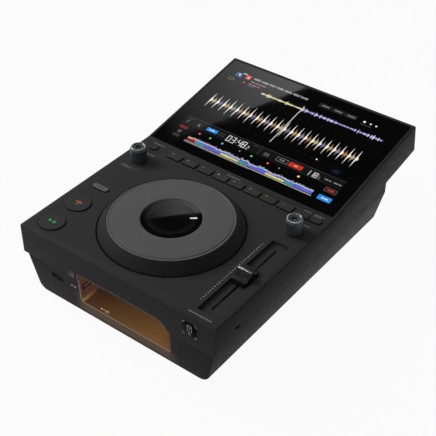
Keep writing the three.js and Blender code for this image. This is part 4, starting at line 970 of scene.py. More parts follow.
@dataclass
class Housing(Assembly):
    """Upper case, lower case, base plate, feet and the prints and badge on the panel."""

    panel: float = 88.6
    front: float = -185.84
    badge_at: Pair = (94.7, 72.1)
    badge_size: Pair = (17.0, 17.8)
    badge_corner: float = 4.6
    badge_thickness: float = 0.25

    def build(self) -> list[Object]:
        """Dresses the shells and adds the badge and the prints."""
        pieces = [
            refined("upper_case", self.finishes.case, 0.3, merge=0.07),
            refined("lower_case", self.finishes.lower, 0.3),
            refined("base_plate", self.finishes.steel, 0.15),
        ]
        feet = [f"foot_{end}_{side}" for end in ("front", "rear") for side in ("left", "right")]
        pieces += [refined(foot, self.finishes.rubber, 0.4) for foot in feet]
        return [*pieces, self.badge(), self.badge_marks(), self.panel_prints()]

    def badge_outline(self, shrink: float) -> Array:
        """Gives the badge's eight-cornered outline, drawn in on every side by shrink, with eased corners."""
        wide, high = self.badge_size[0] / 2 - shrink, self.badge_size[1] / 2 - shrink
        cut = self.badge_corner - shrink * 0.4
        corners = [
            (wide - cut, -high), (wide, -high + cut), (wide, high - cut), (wide - cut, high),
            (-wide + cut, high), (-wide, high - cut), (-wide, -high + cut), (-wide + cut, -high),
        ]
        return eased(corners, 0.5)

    def badge(self) -> Object:
        """Makes the glossy badge: outlines stacked towards the front, the last ones drawn in for a soft rim."""
        face = self.badge_thickness
        rings = []
        for shrink, out in ((0.0, -0.1), (0.0, face - 0.12), (0.05, face - 0.04), (0.14, face)):
            across, along = (self.badge_outline(shrink) + self.badge_at).T
            rings.append(np.stack([across, np.full(len(across), self.front - out), along], -1))
        piece = new_piece("front_badge", stacked(np.array(rings)), self.finishes.badge, "case", 60)
        return piece

    def badge_marks(self) -> Object:
        """Draws the four corner brackets and a plain card sign on the badge."""
        x, z = self.badge_at
        art = Artwork((x, self.front - self.badge_thickness, z), X_AXIS, UP)
        white = Ink.WHITE.value
        for sx in (-1, 1):
            for sz in (-1, 1):
                art.bars(sx * 6.9, sz * 7.9, 2.4, 0.5, white)
                art.bars(sx * 7.85, sz * 6.95, 0.5, 2.4, white)
        art.chip(0, 1.2, 5.4, 8.2, white, 0, 0.45, 0.9)
        art.bars(0, 2.6, 3.0, 0.45, white)
        art.bars(0, 0.2, 0.45, 2.4, white)
        art.bars(0, -5.4, 3.0, 0.9, white)
        return art.piece("front_badge_marks", self.finishes.print_ink, "case", "case_plastic")

    def panel_prints(self) -> Object:
        """Draws the tempo scale's dots, the outline beside the left knob and the small marks by the keys."""
        art = Artwork((0, 0, self.panel), X_AXIS, Y_AXIS)
        pale, dim, soft = Ink.PRINT.value, Ink.DIM_PRINT.value, Ink.SOFT.value
        scale, stops = 88.5, (-160.3, -110.6, -60.9)
        for y in stops:
            art.disc(scale, y, 0.78, soft, 1)
        share = np.arange(1, 14) / 14
        for start, end in zip(stops, stops[1:]):
            art.bars(scale, start + share * (end - start), 0.95, 0.95, Ink.WHITE.value)
        art.chip(-102.8, -44.1, 26.2, 4.4, dim, 0, 0.32, 2.2)
        art.disc(-94.1, -43.6, 1.15, dim, 0, 0.8)
        rows = (
            (-111.6, -44.1, (1.8, 1.4, 2.4, 1.6, 2.0), 1.2, pale),
            (-110.1, 9.0, (2.4, 1.6, 2.6, 1.8, 2.2), 1.35, soft),
            (-103.8, -11.7, (2.2, 1.4, 2.6, 1.8), 1.2, pale),
            (-8.7, 10.3, (2.6, 1.8, 2.4, 1.6, 2.4, 1.8), 1.25, pale),
            (92.0, 9.3, (2.0, 1.6, 2.4), 1.2, pale),
            (104.6, 9.7, (2.2, 1.6, 2.4, 1.6), 1.15, pale),
            (104.6, 7.8, (2.6, 1.8, 2.0), 1.15, pale),
            (104.5, -11.5, (1.8, 2.2, 1.6), 1.15, pale),
            (88.8, -179.0, (3.4, 2.2, 3.0, 1.6, 3.2, 2.6, 3.0, 2.2), 1.3, soft, 0, 0.7),
        )
        for row in rows:
            art.dashes(*row)
        return art.piece("panel_prints", self.finishes.print_ink, "case", "case_plastic")


@dataclass
class Recess(Assembly):
    """The storage recess, its light painted on the lining, and the sign on its floor."""

    floor: float = 22.6

    def build(self) -> list[Object]:
        """Dresses the lining and adds the sign."""
        # The lining's glow is painted light, given off by its finish.
        lining = refined("recess_lining", self.finishes.amber, 0.3)
        art = Artwork((-21.8, -178.4, self.floor), X_AXIS, Y_AXIS)
        # The sign is drawn in glowing lamp ink: the recess's painted light on a print.
        pale = tone(186, 158, 144)
        art.bars(0, 0, 7.4, 0.6, pale)
        art.disc(-3.9, 0, 0.9, pale)
        art.bars(3.4, [0.9, -0.9], 0.5, 1.9, pale)
        art.chip(5.2, 0, 2.8, 2.4, pale, 0, 0.4, 0.5)
        sign = art.piece("recess_floor_sign", self.finishes.lamp_ink, "case", "amber_plastic")
        return [lining, sign]


@dataclass
class JogWheel(Assembly):
    """Platter with its knurled skirt, top plate, ring, lens and the hidden running parts."""

    centre: Pair = (0.0, -95.24)
    panel: float = 88.6
    skirt_radius: float = 75.6
    skirt_depth: float = 6.0
    lip: float = 0.8
    top_radius: float = 66.4
    recess_radius: float = 65.7
    plate_radius: float = 62.7
    well_radius: float = 31.4
    height: float = 11.6
    seat: float = 10.1
    wall: float = 2.2
    hub_radius: float = 33.6
    hub_shelf: float = 2.5
    hub_bore: float = 27.0
    hub_depth: float = 9.0
    hub_flange: Pair = (3.4, 1.2)
    lens_radius: float = 31.0
    lens_top: float = 10.9
    lens_thickness: float = 1.2
    mark_angle: float = 38.0

    def build(self) -> list[Object]:
        """Builds the turned pieces and dresses the hidden ones."""
        pieces = [self.platter(), self.top_plate(), self.trim_ring(), self.lens(), self.lens_marks()]
        pieces.append(refined("jog_display", self.finishes.black, 0.12))
        steel = ("jog_spindle", "jog_bearing", "jog_encoder_disc", "jog_base")
        return pieces + [refined(node, self.finishes.steel, 0.12) for node in steel]

    def round_piece(self, node: str, corners: Sequence[Pair], reach: Sequence[float], material: Material) -> Object:
        """Turns an eased profile, given as radius and height over the panel, and stands it for a node."""
        profile = eased(corners, reach, 6) + (0, self.panel)
        return dressed(node, turned(profile, self.centre), material)

    def platter(self) -> Object:
        """Makes the platter from the CAD node's own profile, its lip and rim eased."""
        inner = self.skirt_radius - self.wall
        web = self.seat - self.wall
        flange, rise = self.hub_flange
        foot = -self.hub_depth
        corners = [
            (self.skirt_radius, -self.skirt_depth), (self.skirt_radius, self.lip), (self.top_radius, self.height),
            (self.recess_radius, self.height), (self.recess_radius, self.seat), (self.well_radius, self.seat),
            (self.well_radius, self.hub_shelf), (self.hub_bore, self.hub_shelf), (self.hub_bore, foot),
            (self.hub_radius + flange, foot), (self.hub_radius + flange, foot + rise), (self.hub_radius, foot + rise),
            (self.hub_radius, web), (self.top_radius - self.wall, web),
            (inner, self.lip - self.wall / 2), (inner, -self.skirt_depth),
        ]
        reach = [0.4, 1.4, 0.5, 0.15, 0.3, 0.3, 0.3, 0.3, 0.3, 0.3, 0.2, 0.3, 0.5, 0.5, 0.5, 0.3]
        return self.round_piece("jog_platter", corners, reach, self.finishes.skirt)

    def top_plate(self) -> Object:
        """Makes the wide flat plate, with a fine groove near its rim and a small chamfer at the well."""
        low, top, rim = self.seat + 0.3, self.height, self.plate_radius
        corners = [
            (self.well_radius, low), (rim, low), (rim, top - 0.35), (rim - 0.35, top),
            (rim - 1.1, top), (rim - 1.25, top - 0.12), (rim - 1.4, top),
            (self.well_radius + 0.9, top), (self.well_radius, top - 0.6),
        ]
        reach = [0.1, 0.1, 0.12, 0.12, 0.05, 0.05, 0.05, 0.3, 0.2]
        return self.round_piece("jog_top_plate", corners, reach, self.finishes.plate)

    def trim_ring(self) -> Object:
        """Makes the low ring between the plate and the rim."""
        low, top = self.seat + 0.3, self.height - 0.3
        inner, outer = self.plate_radius + 0.3, self.recess_radius - 0.3
        corners = [(inner, low), (outer, low), (outer, top), (inner, top)]
        return self.round_piece("jog_ring", corners, [0.1, 0.1, 0.35, 0.35], self.finishes.ring)

    def lens(self) -> Object:
        """Makes the cover lens, a disc with a soft rim."""
        low, top, rim = self.lens_top - self.lens_thickness, self.lens_top, self.lens_radius
        corners = [(0.001, low), (rim, low), (rim, top - 0.07), (rim - 0.07, top), (0.001, top)]
        profile = eased(corners, [0, 0.2, 0.03, 0.03, 0], 5) + (0, self.panel)
        return dressed("jog_lens", turned(profile, self.centre, 160), self.finishes.glass)

    def lens_marks(self) -> Object:
        """Draws what shows through the lens: a ring of ticks, a thin ring round the dark middle and the lit position
        mark.
        """
        art = Artwork((*self.centre, self.panel + self.lens_top), X_AXIS, Y_AXIS)
        ticks = np.arange(96) * 2 * np.pi / 96
        art.quads(self.rays(ticks, 0.012, 20.6, 25.6), tone(26, 27, 28), 0)
        art.disc(0, 0, 19.2, tone(15, 15, 16), 0, 18.9, 72)
        mark = np.array([math.radians(self.mark_angle)])
        art.quads(self.rays(mark, math.radians(2.4), 18.6, 25.8), Ink.WHITE.value, 1)
        return art.piece("jog_lens_marks", self.finishes.lit_ink, "case", "black_glass")

    def rays(self, angle: Array, half: float, inner: float, outer: float) -> Array:
        """Gives bars that point outwards at each angle, half to each side, between two radii."""
        first, last = (np.stack([np.cos(angle + turn), np.sin(angle + turn)], -1) for turn in (-half, half))
        return np.stack([first * inner, first * outer, last * outer, last * inner], 1)


@dataclass
class KeySet(Assembly):
    """Every sprung key with its lamp or sign."""

    flange: float = 1.2
    stem_radius: float = 1.8
    stem_length: float = 4.2
    lamps: tuple[Ink, ...] = (Ink.SOFT, Ink.SOFT, Ink.TEAL, Ink.YELLOW, Ink.SOFT, Ink.ORANGE, Ink.ORANGE, Ink.RED)

    def build(self) -> list[Object]:
        """Dresses the keys and adds their marks."""
        pieces = [self.round_key(node) for node in ("play_button", "cue_button", "search_button")]
        pieces += [refined(node, self.finishes.key, 0.28) for node in ("shift_button_left", "shift_button_right")]
        pieces.append(refined("power_button", self.finishes.black, 0.28))
        pieces += [refined(f"pad_button_{i}", self.finishes.key, 0.28) for i in range(1, 9)]
        pieces.append(refined("mode_button", self.finishes.pale_key, 0.28))
        pieces += [self.lamp(i) for i in range(1, 9)]
        return [*pieces, self.play_sign(), self.cue_sign(), self.mode_sign()]

    def round_key(self, node: str) -> Object:
        """Turns a round key: stem, flange under the panel, side and softened top, with the face dished by 0.15."""
        low, high = box_of(node)
        wide = (high[0] - low[0]) / 2
        radius, foot, top = wide - self.flange, low[2], high[2]
        flange_low = foot + self.stem_length
        flange_high = flange_low + self.flange
        corners = [
            (0.001, foot), (self.stem_radius, foot), (self.stem_radius, flange_low), (wide, flange_low),
            (wide, flange_high), (radius, flange_high), (radius, top - 0.45), (radius - 0.45, top),
            (radius * 0.6, top - 0.1), (0.001, top - 0.15),
        ]
        profile = eased(corners, [0, 0.2, 0.2, 0.2, 0.2, 0.2, 0.25, 0.3, 2, 0], 5)
        return dressed(node, turned(profile, axis_of(node), 128), self.finishes.key)

    def top_of(self, node: str) -> Place:
        """Gives the middle of a key's top face."""
        return (*axis_of(node), box_of(node)[1][2])

    def lamp(self, number: int) -> Object:
        """Draws the small lamp in the upper left of a pad."""
        node = f"pad_button_{number}"
        art = Artwork(self.top_of(node), X_AXIS, Y_AXIS)
        colour = np.array(self.lamps[number - 1].value)
        art.disc(-4.6, 2.2, 0.95, tuple(colour * 0.35), 0)
        art.disc(-4.6, 2.2, 0.6, tuple(colour * 0.9), 1)
        return art.piece(f"pad_lamp_{number}", self.finishes.lamp_ink, BODY_OF[node], "key_plastic")

    def play_sign(self) -> Object:
        """Draws the start and pause sign: a wedge and two bars, in green."""
        art = Artwork(self.top_of("play_button"), X_AXIS, Y_AXIS)
        green = Ink.GREEN.value
        art.quads(np.array([(-4.4, -1.9), (-1.0, 0), (-1.0, 0), (-4.4, 1.9)]), green)
        art.bars([1.6, 3.6], 0, 1.0, 3.6, green)
        return art.piece("play_sign", self.finishes.lamp_ink, "play_key", "key_plastic")

    def cue_sign(self) -> Object:
        """Draws a plain sign in amber: a ring with a bar through its foot, and a dim line under it."""
        art = Artwork(self.top_of("cue_button"), X_AXIS, Y_AXIS)
        amber = Ink.ORANGE.value
        art.disc(0, 0.8, 1.9, amber, 0, 1.25)
        art.bars([-3.6, 3.6], 0.8, 1.6, 0.7, amber)
        art.bars(0, -3.4, 4.6, 0.7, Ink.DIM_PRINT.value)
        return art.piece("cue_sign", self.finishes.lamp_ink, "cue_key", "key_plastic")

    def mode_sign(self) -> Object:
        """Draws short marks on the pale key."""
        art = Artwork(self.top_of("mode_button"), X_AXIS, Y_AXIS)
        art.dashes(-4.6, 0, (1.8, 1.2, 1.6, 1.8), 1.5, tone(26, 26, 27))
        return art.piece("mode_sign", self.finishes.print_ink, "mode_key", "pale_key_plastic")


@dataclass
class TempoFader(Assembly):
    """Cap with its bright ridge line, slider and track."""

    centre: Pair = (103.15, -111.14)
    ridge_width: float = 2.2
    cap_width: float = 16.5
    ridge_top: float = 97.4

    def build(self) -> list[Object]:
        """Dresses the cap and its slide and adds the ridge line."""
        cap = refined("tempo_cap", self.finishes.black, 0.3)
        slide = refined("tempo_slider", self.finishes.black, 0.15)
        track = refined("tempo_track", self.finishes.steel, 0.15)
        return [cap, slide, track, self.ridge_line()]

    def ridge_line(self) -> Object:
        """Makes the bright bar on the ridge: a slim rounded section carried across the cap."""
        half = self.cap_width / 2 - 0.25
        section = rounded_outline(self.ridge_width - 0.2, 0.5, 0.2, 4)
        ends = np.array([-half, -half + 0.12, half - 0.12, half])
        size = np.array([0.8, 1.0, 1.0, 0.8])
        rings = np.stack([
            np.broadcast_to(self.centre[0] + ends[:, None], (4, len(section))),
            self.centre[1] + section[None, :, 0] * size[:, None],
            self.ridge_top - 0.1 + section[None, :, 1] * size[:, None],
        ], -1)
        piece = new_piece("tempo_ridge_line", stacked(rings), self.finishes.silver, "tempo_fader")
        return piece


@dataclass
class Knobs(Assembly):
    """The two fluted knobs with bright rings, and the shafts and controls under them."""

    sides: int = 288
    flutes: int = 16
    flute_depth: float = 0.28
    grip: Pair = (1.2, 13.9)

    def build(self) -> list[Object]:
        """Makes both knobs with their rings and dresses what carries them."""
        pieces = []
        for node, body in (("level_knob", "level_control"), ("select_knob", "select_control")):
            pieces += [self.knob(node), self.bright_ring(node, body)]
        for node in ("level_shaft", "select_shaft", "select_plunger"):
            pieces.append(refined(node, self.finishes.steel, 0.12))
        return pieces + [refined(node, self.finishes.black, 0.15) for node in ("level_pot", "select_encoder")]

    def knob(self, node: str) -> Object:
        """Makes a knob.

        At angle a the radius is the profile's, less the flute depth times (1 - |cos(n a / 2)|) to the power 0.7
        where the height is on the grip, eased in and out over 1.5 mm.

        Args:
            node: The CAD node that it stands for.

        Returns:
            The new object.
        """
        centre, foot = axis_of(node), box_of(node)[0][2]
        corners = [
            (3.3, 0.62), (4.8, 0.62), (4.8, 0.0), (8.7, 0.0), (9.0, 1.25),
            *[(9.0 + 0.3 * t, 1.25 + 12.3 * t) for t in (0.12, 0.3, 0.5, 0.7, 0.88)],
            (9.3, 13.6), (9.2, 14.6), (7.8, 16.9), (5.8, 17.0), (5.6, 16.2), (3.3, 16.2),
        ]
        outline = eased(corners, 0.35, 4)
        surface = turned(outline + (0, foot), centre, self.sides)
        points = surface.points.reshape(self.sides, len(outline), 3)
        height, (low, high), ease = outline[:, 1], self.grip, 1.5
        grip = np.clip((height - low) / ease, 0, 1) * np.clip((high - height) / ease, 0, 1) * (outline[:, 0] > 8)
        angle = np.arange(self.sides) * 2 * np.pi / self.sides
        flute = (1 - np.abs(np.cos(self.flutes * angle / 2))) ** 0.7
        pull = 1 - self.flute_depth * flute[:, None] * grip[None] / outline[:, 0]
        points[..., :2] = centre + (points[..., :2] - centre) * pull[..., None]
        return dressed(node, surface, self.finishes.knob)

    def bright_ring(self, node: str, body: str) -> Object:
        """Makes the bright ring round a knob's top: an eased four-cornered profile turned round its axis."""
        foot = box_of(node)[0][2]
        profile = eased([(7.95, 16.6), (7.85, 17.05), (7.0, 17.14), (6.6, 16.7)], 0.14, 4) + (0, foot)
        piece = new_piece(f"{node}_ring", turned(profile, axis_of(node), 120), self.finishes.silver, body)
        return piece


@dataclass
class TouchScreen(Assembly):
    """Cover glass with the lit picture under it, and the display and bracket behind."""

    fold: float = 14.96
    panel: float = 88.6
    tilt: float = 9.35

    def build(self) -> list[Object]:
        """Dresses the glass and what is behind it and draws the picture."""
        glass = refined("screen_glass", self.finishes.glass, 0.2)
        display = refined("screen_display", self.finishes.black, 0.15)
        bracket = refined("screen_bracket", self.finishes.steel, 0.1)
        return [glass, display, bracket, self.picture()]

    def picture(self) -> Object:
        """Draws a plain player screen: title marks, two waveforms, a readout strip and an overview."""
        turn = math.radians(self.tilt)
        along = (0, math.cos(turn), math.sin(turn))
        out = np.array([0, -math.sin(turn), math.cos(turn)])
        art = Artwork(np.array([0, self.fold, self.panel]) - 0.1 * out, X_AXIS, along)
        self.title(art)
        self.slim_waveform(art)
        self.wide_waveform(art)
        self.readout(art)
        self.overview(art)
        return art.piece("screen_picture", self.finishes.lit_ink, "case", "black_glass")

    def beats(self, u: Array, period: float, sharp: float, seed: int) -> Array:
        """Gives a row of falling beats.

        Each beat's height is exp(-sharp * d) of the distance d since it began as a share of its period,
        times a height of its own from a seeded table, and its rise takes a twelfth of the period.
        """
        place = (u - u.min()) / period
        number = np.floor(place).astype(int)
        since = place - number
        heights = 0.55 + 0.45 * np.random.default_rng(seed).random(number.max() + 1)
        rise = np.clip(since * 12, 0, 1)
        return heights[number] * rise * np.exp(-sharp * np.clip(since - 1 / 12, 0, None))

    def title(self, art: Artwork) -> None:
        """Draws the top line: two square tiles, title marks, three dark tabs and round signs."""
        art.chip(-100, 143, 9, 8, tone(44, 84, 128), 0)
        art.disc(-99.4, 143.6, 1.5, tone(210, 232, 246), 1)
        art.bars(-97.6, 140.8, 1.2, 1.2, tone(150, 190, 220), 1)
        art.bars(-93.4, 147.6, 5.6, 1.5, tone(206, 206, 206), 1)
        art.chip(-87, 144, 6.6, 7.4, tone(206, 66, 74), 0)
        art.disc(-86.4, 143.4, 1.6, tone(250, 176, 170), 1)
        art.chip(-104.4, 132.4, 8.4, 5.2, tone(96, 84, 88), 0, 1.2)
        table = np.random.default_rng(31)
        strokes = 0.55 + 0.5 * table.random(42)
        gaps = np.where(np.arange(42) % 6 == 5, 2.3, 0.8)
        ends = np.cumsum(strokes + gaps)
        middles = -79.4 + ends - gaps - strokes / 2
        level, height = 145.2 + 0.6 * table.random(42), 2.3 + 1.7 * table.random(42)
        art.bars(middles, level, strokes, height, tone(196, 196, 194), 0)
        art.dashes(-80, 139.2, (6, 4.2, 3, 5.2), 1.3, Ink.SOFT.value)
        art.dashes(-80, 134.6, (4, 6.6, 3.4), 1.1, Ink.ORANGE.value)
        art.dashes(-80, 131.6, (5.4, 3.2), 1.0, Ink.BLUE.value)
        art.disc(-86.6, 133.6, 1.1, Ink.ORANGE.value)
        for u in (20.5, 37.5, 54.5):
            art.chip(u, 145.2, 15.6, 7.0, tone(36, 36, 38))
            art.dashes(u - 4, 145.2, (2.6, 3.6, 1.8), 1.3, Ink.SOFT.value, 1, 0.6)
        for u, size in ((72.5, 1.6), (80.5, 1.2), (87.5, 1.2)):
            art.disc(u, 145, size, Ink.WHITE.value)
        art.dashes(70, 140.4, (4, 3, 4), 1.0, Ink.FAINT.value)

    def slim_waveform(self, art: Artwork) -> None:
        """Draws the slim waveform, cream up to the playhead and violet with white peaks after it."""
        u = np.arange(-57, 106, 0.16)
        body = 0.45 + 1.5 * self.beats(u, 12.4, 2.6, 3) * (0.5 + 0.5 * np.abs(np.sin(u * 2.9)))
        played = (u[:-1] < -1)[:, None]
        art.band(u, 127.6 - body, 127.6 + body, np.where(played, tone(220, 200, 150), Ink.VIOLET.value), 0)
        table = np.random.default_rng(5)
        peaks = np.arange(-55, 105, 3.3) + 1.6 * table.random(49)
        shades = np.where((peaks < -1)[:, None], tone(238, 222, 184), tone(206, 200, 240))
        self.diamonds(art, peaks, 127.6, 0.7 + 0.9 * table.random(49), 1.2 + 3.6 * table.random(49) ** 2, shades, 1)

    def diamonds(
        self, art: Artwork, u: Array, middle: float, half_width: Array, half_height: Array,
        colours: Array | Colour, level: int,
    ) -> None:
        """Adds upright diamonds round one height: tips half_height above and below, sides half_width to each side."""
        u, half_width, half_height = np.broadcast_arrays(u, half_width, half_height)
        flat = np.full(len(u), middle)
        left, right = np.stack([u - half_width, flat], -1), np.stack([u + half_width, flat], -1)
        low, high = np.stack([u, middle - half_height], -1), np.stack([u, middle + half_height], -1)
        art.quads(np.stack([left, low, right, high], 1), colours, level)

    def wide_waveform(self, art: Artwork) -> None:
        """Draws the wide waveform: tall white diamonds, lower coloured ones between them, and the playhead."""
        middle, period = 88.5, 9.4
        table = np.random.default_rng(7)
        tall = np.arange(-101.5, 105, period)
        heights = 15.4 - 2.4 * table.random(len(tall))
        kinds = np.arange(len(tall)) % 5
        palette = np.array([
            tone(206, 188, 150), tone(124, 118, 152), tone(196, 164, 112), tone(150, 146, 162), tone(180, 134, 92),
        ])
        between, colours = tall[:-1] + 0.47 * period, palette[kinds[:-1]]
        feet = np.concatenate([tall + 1.0, between + 0.8])
        warm = np.concatenate([palette[kinds], colours]) * 0.5
        self.diamonds(art, feet, middle, 2.8, 3.0, warm, 0)
        self.diamonds(art, between, middle, 0.6, heights[:-1] * 0.62, colours, 1)
        self.diamonds(art, between + 1.5, middle, 1.2, 4.0, colours * 0.75, 2)
        self.diamonds(art, tall, middle, 0.85, heights, tone(246, 243, 238), 3)
        self.diamonds(art, tall + 1.2, middle, 1.5, 3.4, tone(238, 230, 214), 4)
        art.bars(0, 98, 0.75, 70, Ink.WHITE.value, 5)
        dots = np.arange(-96, 100, period)
        for height in (112.5, 65.4):
            art.bars(dots, height, 0.6, 0.6, Ink.FAINT.value)
        art.disc(60, 66, 1.0, Ink.WHITE.value)
        art.chip(88, 60.4, 9, 5.4, tone(24, 22, 48))

    def readout(self, art: Artwork) -> None:
        """Draws the readout strip: tabs, the running time, its tenths, two chips and the beat count."""
        faint, soft, white = Ink.FAINT.value, Ink.SOFT.value, Ink.WHITE.value
        art.bars(0, 45, 213, 13.6, tone(17, 17, 18), 0)
        art.bars(0, 52.2, 213, 0.4, faint, 0)
        art.dashes(-103, 49.4, (3.4, 2.2), 1.1, faint, 1)
        art.digits("2", -102, 44.4, 4.4, soft, 1)
        art.digits("16", -88.5, 44.4, 4.4, soft, 1)
        art.chip(-66.8, 45, 15, 5.6, Ink.SKY.value, 1)
        art.dashes(-71, 45, (2.6, 3.8), 1.4, white, 2)
        art.dashes(-57, 46.6, (3.4, 2.8), 1.0, faint, 1)
        art.dashes(-57, 43.6, (2.6, 4.2), 1.0, faint, 1)
        end = art.digits("03:48", -45, 44.2, 9.6, white, 1)
        art.digits(".2", end - 0.4, 42.2, 5.6, white, 1)
        art.dashes(-12, 49.6, (3, 2.4), 1.0, faint, 1)
        art.bars(-1.5, 45, 0.35, 12, faint, 1)
        art.digits("0.6", 6, 44.2, 4.4, soft, 1)
        art.chip(29, 45.2, 14.5, 6.2, soft, 1, 0.4)
        art.dashes(25.6, 45.2, (2.2, 3.2), 1.3, soft, 1)
        art.chip(46.8, 45.2, 17, 6.6, Ink.RED.value, 1)
        art.bars(46.8, 45.2, 4.4, 1.3, tone(250, 190, 180), 2)
        end = art.digits("118", 61.5, 44.4, 7.6, white, 1)
        art.digits(".5", end - 0.4, 42.8, 4.2, soft, 1)
        art.dashes(84, 45, (4.4, 2.6), 1.3, soft, 1)
        art.dashes(95, 45, (5.2, 3.4), 1.3, soft, 1)

    def overview(self, art: Artwork) -> None:
        """Draws the coloured overview: blocks of colour in two layers under a white edge, and round markers."""
        u = np.arange(-84, 84, 0.3)
        step = np.floor((u - u.min()) / 12)
        jitter = np.random.default_rng(23).random(len(u))
        top = 3.8 + 1.8 * np.abs(np.sin(step * 1.7 + 0.6)) + 3.0 * jitter ** 3
        split = top * 0.42 + 0.5 * np.random.default_rng(29).random(len(u))
        foot = 17.6
        upper = np.array([Ink.BLUE.value, tone(66, 118, 220), tone(62, 92, 190), Ink.BLUE.value])
        under = np.array([ink.value for ink in (Ink.YELLOW, Ink.VIOLET, Ink.YELLOW, Ink.TEAL, Ink.VIOLET)])
        first = upper[(step[:-1] % 4).astype(int)]
        second = under[(step[:-1] * 3 % 5).astype(int)]
        early = (u[:-1] < -72)[:, None]
        low = np.full(len(u), foot)
        art.band(u, low, foot + top + 0.6, tone(236, 230, 216), 0)
        art.band(u, low, foot + top - 0.5, np.where(early, Ink.RED.value, first), 1)
        art.band(u, low, foot + split, np.where(early, tone(120, 40, 40), second), 2)
        art.bars(0, foot - 1.5, 170, 0.5, Ink.WHITE.value, 1)
        art.bars(-40, foot - 2.8, 90, 0.4, Ink.SOFT.value, 1)
        markers = (
            (-76, Ink.RED), (-61, Ink.GREEN), (-44, Ink.TEAL), (-20, Ink.DEEP),
            (-4, Ink.GREEN), (18, Ink.RED), (33, Ink.DEEP), (58, Ink.YELLOW),
        )
        for place, ink in markers:
            art.disc(place, 33.4, 1.5, ink.value, 1)
            art.bars(place, 33.4, 0.7, 1.4, tone(230, 230, 230), 2)
        art.chip(-99, 33.4, 11, 4.6, tone(110, 34, 34), 1)
        art.digits("32", -101.4, 25.4, 4.0, Ink.SOFT.value, 1)
        art.chip(-99, 18.6, 9, 4.2, tone(52, 52, 54), 1)
        art.chip(99, 32.8, 15, 6.6, tone(54, 30, 26), 1)
        art.chip(99, 32.8, 15, 6.6, tone(120, 92, 84), 2, 0.35)
        art.dashes(95.4, 32.8, (2.6, 3.8), 2.2, tone(186, 66, 46), 3)
        art.chip(99.5, 19.8, 16, 7.2, Ink.SKY.value, 1)
        art.dashes(95.6, 19.8, (3.2, 4.2), 1.5, Ink.WHITE.value, 2)


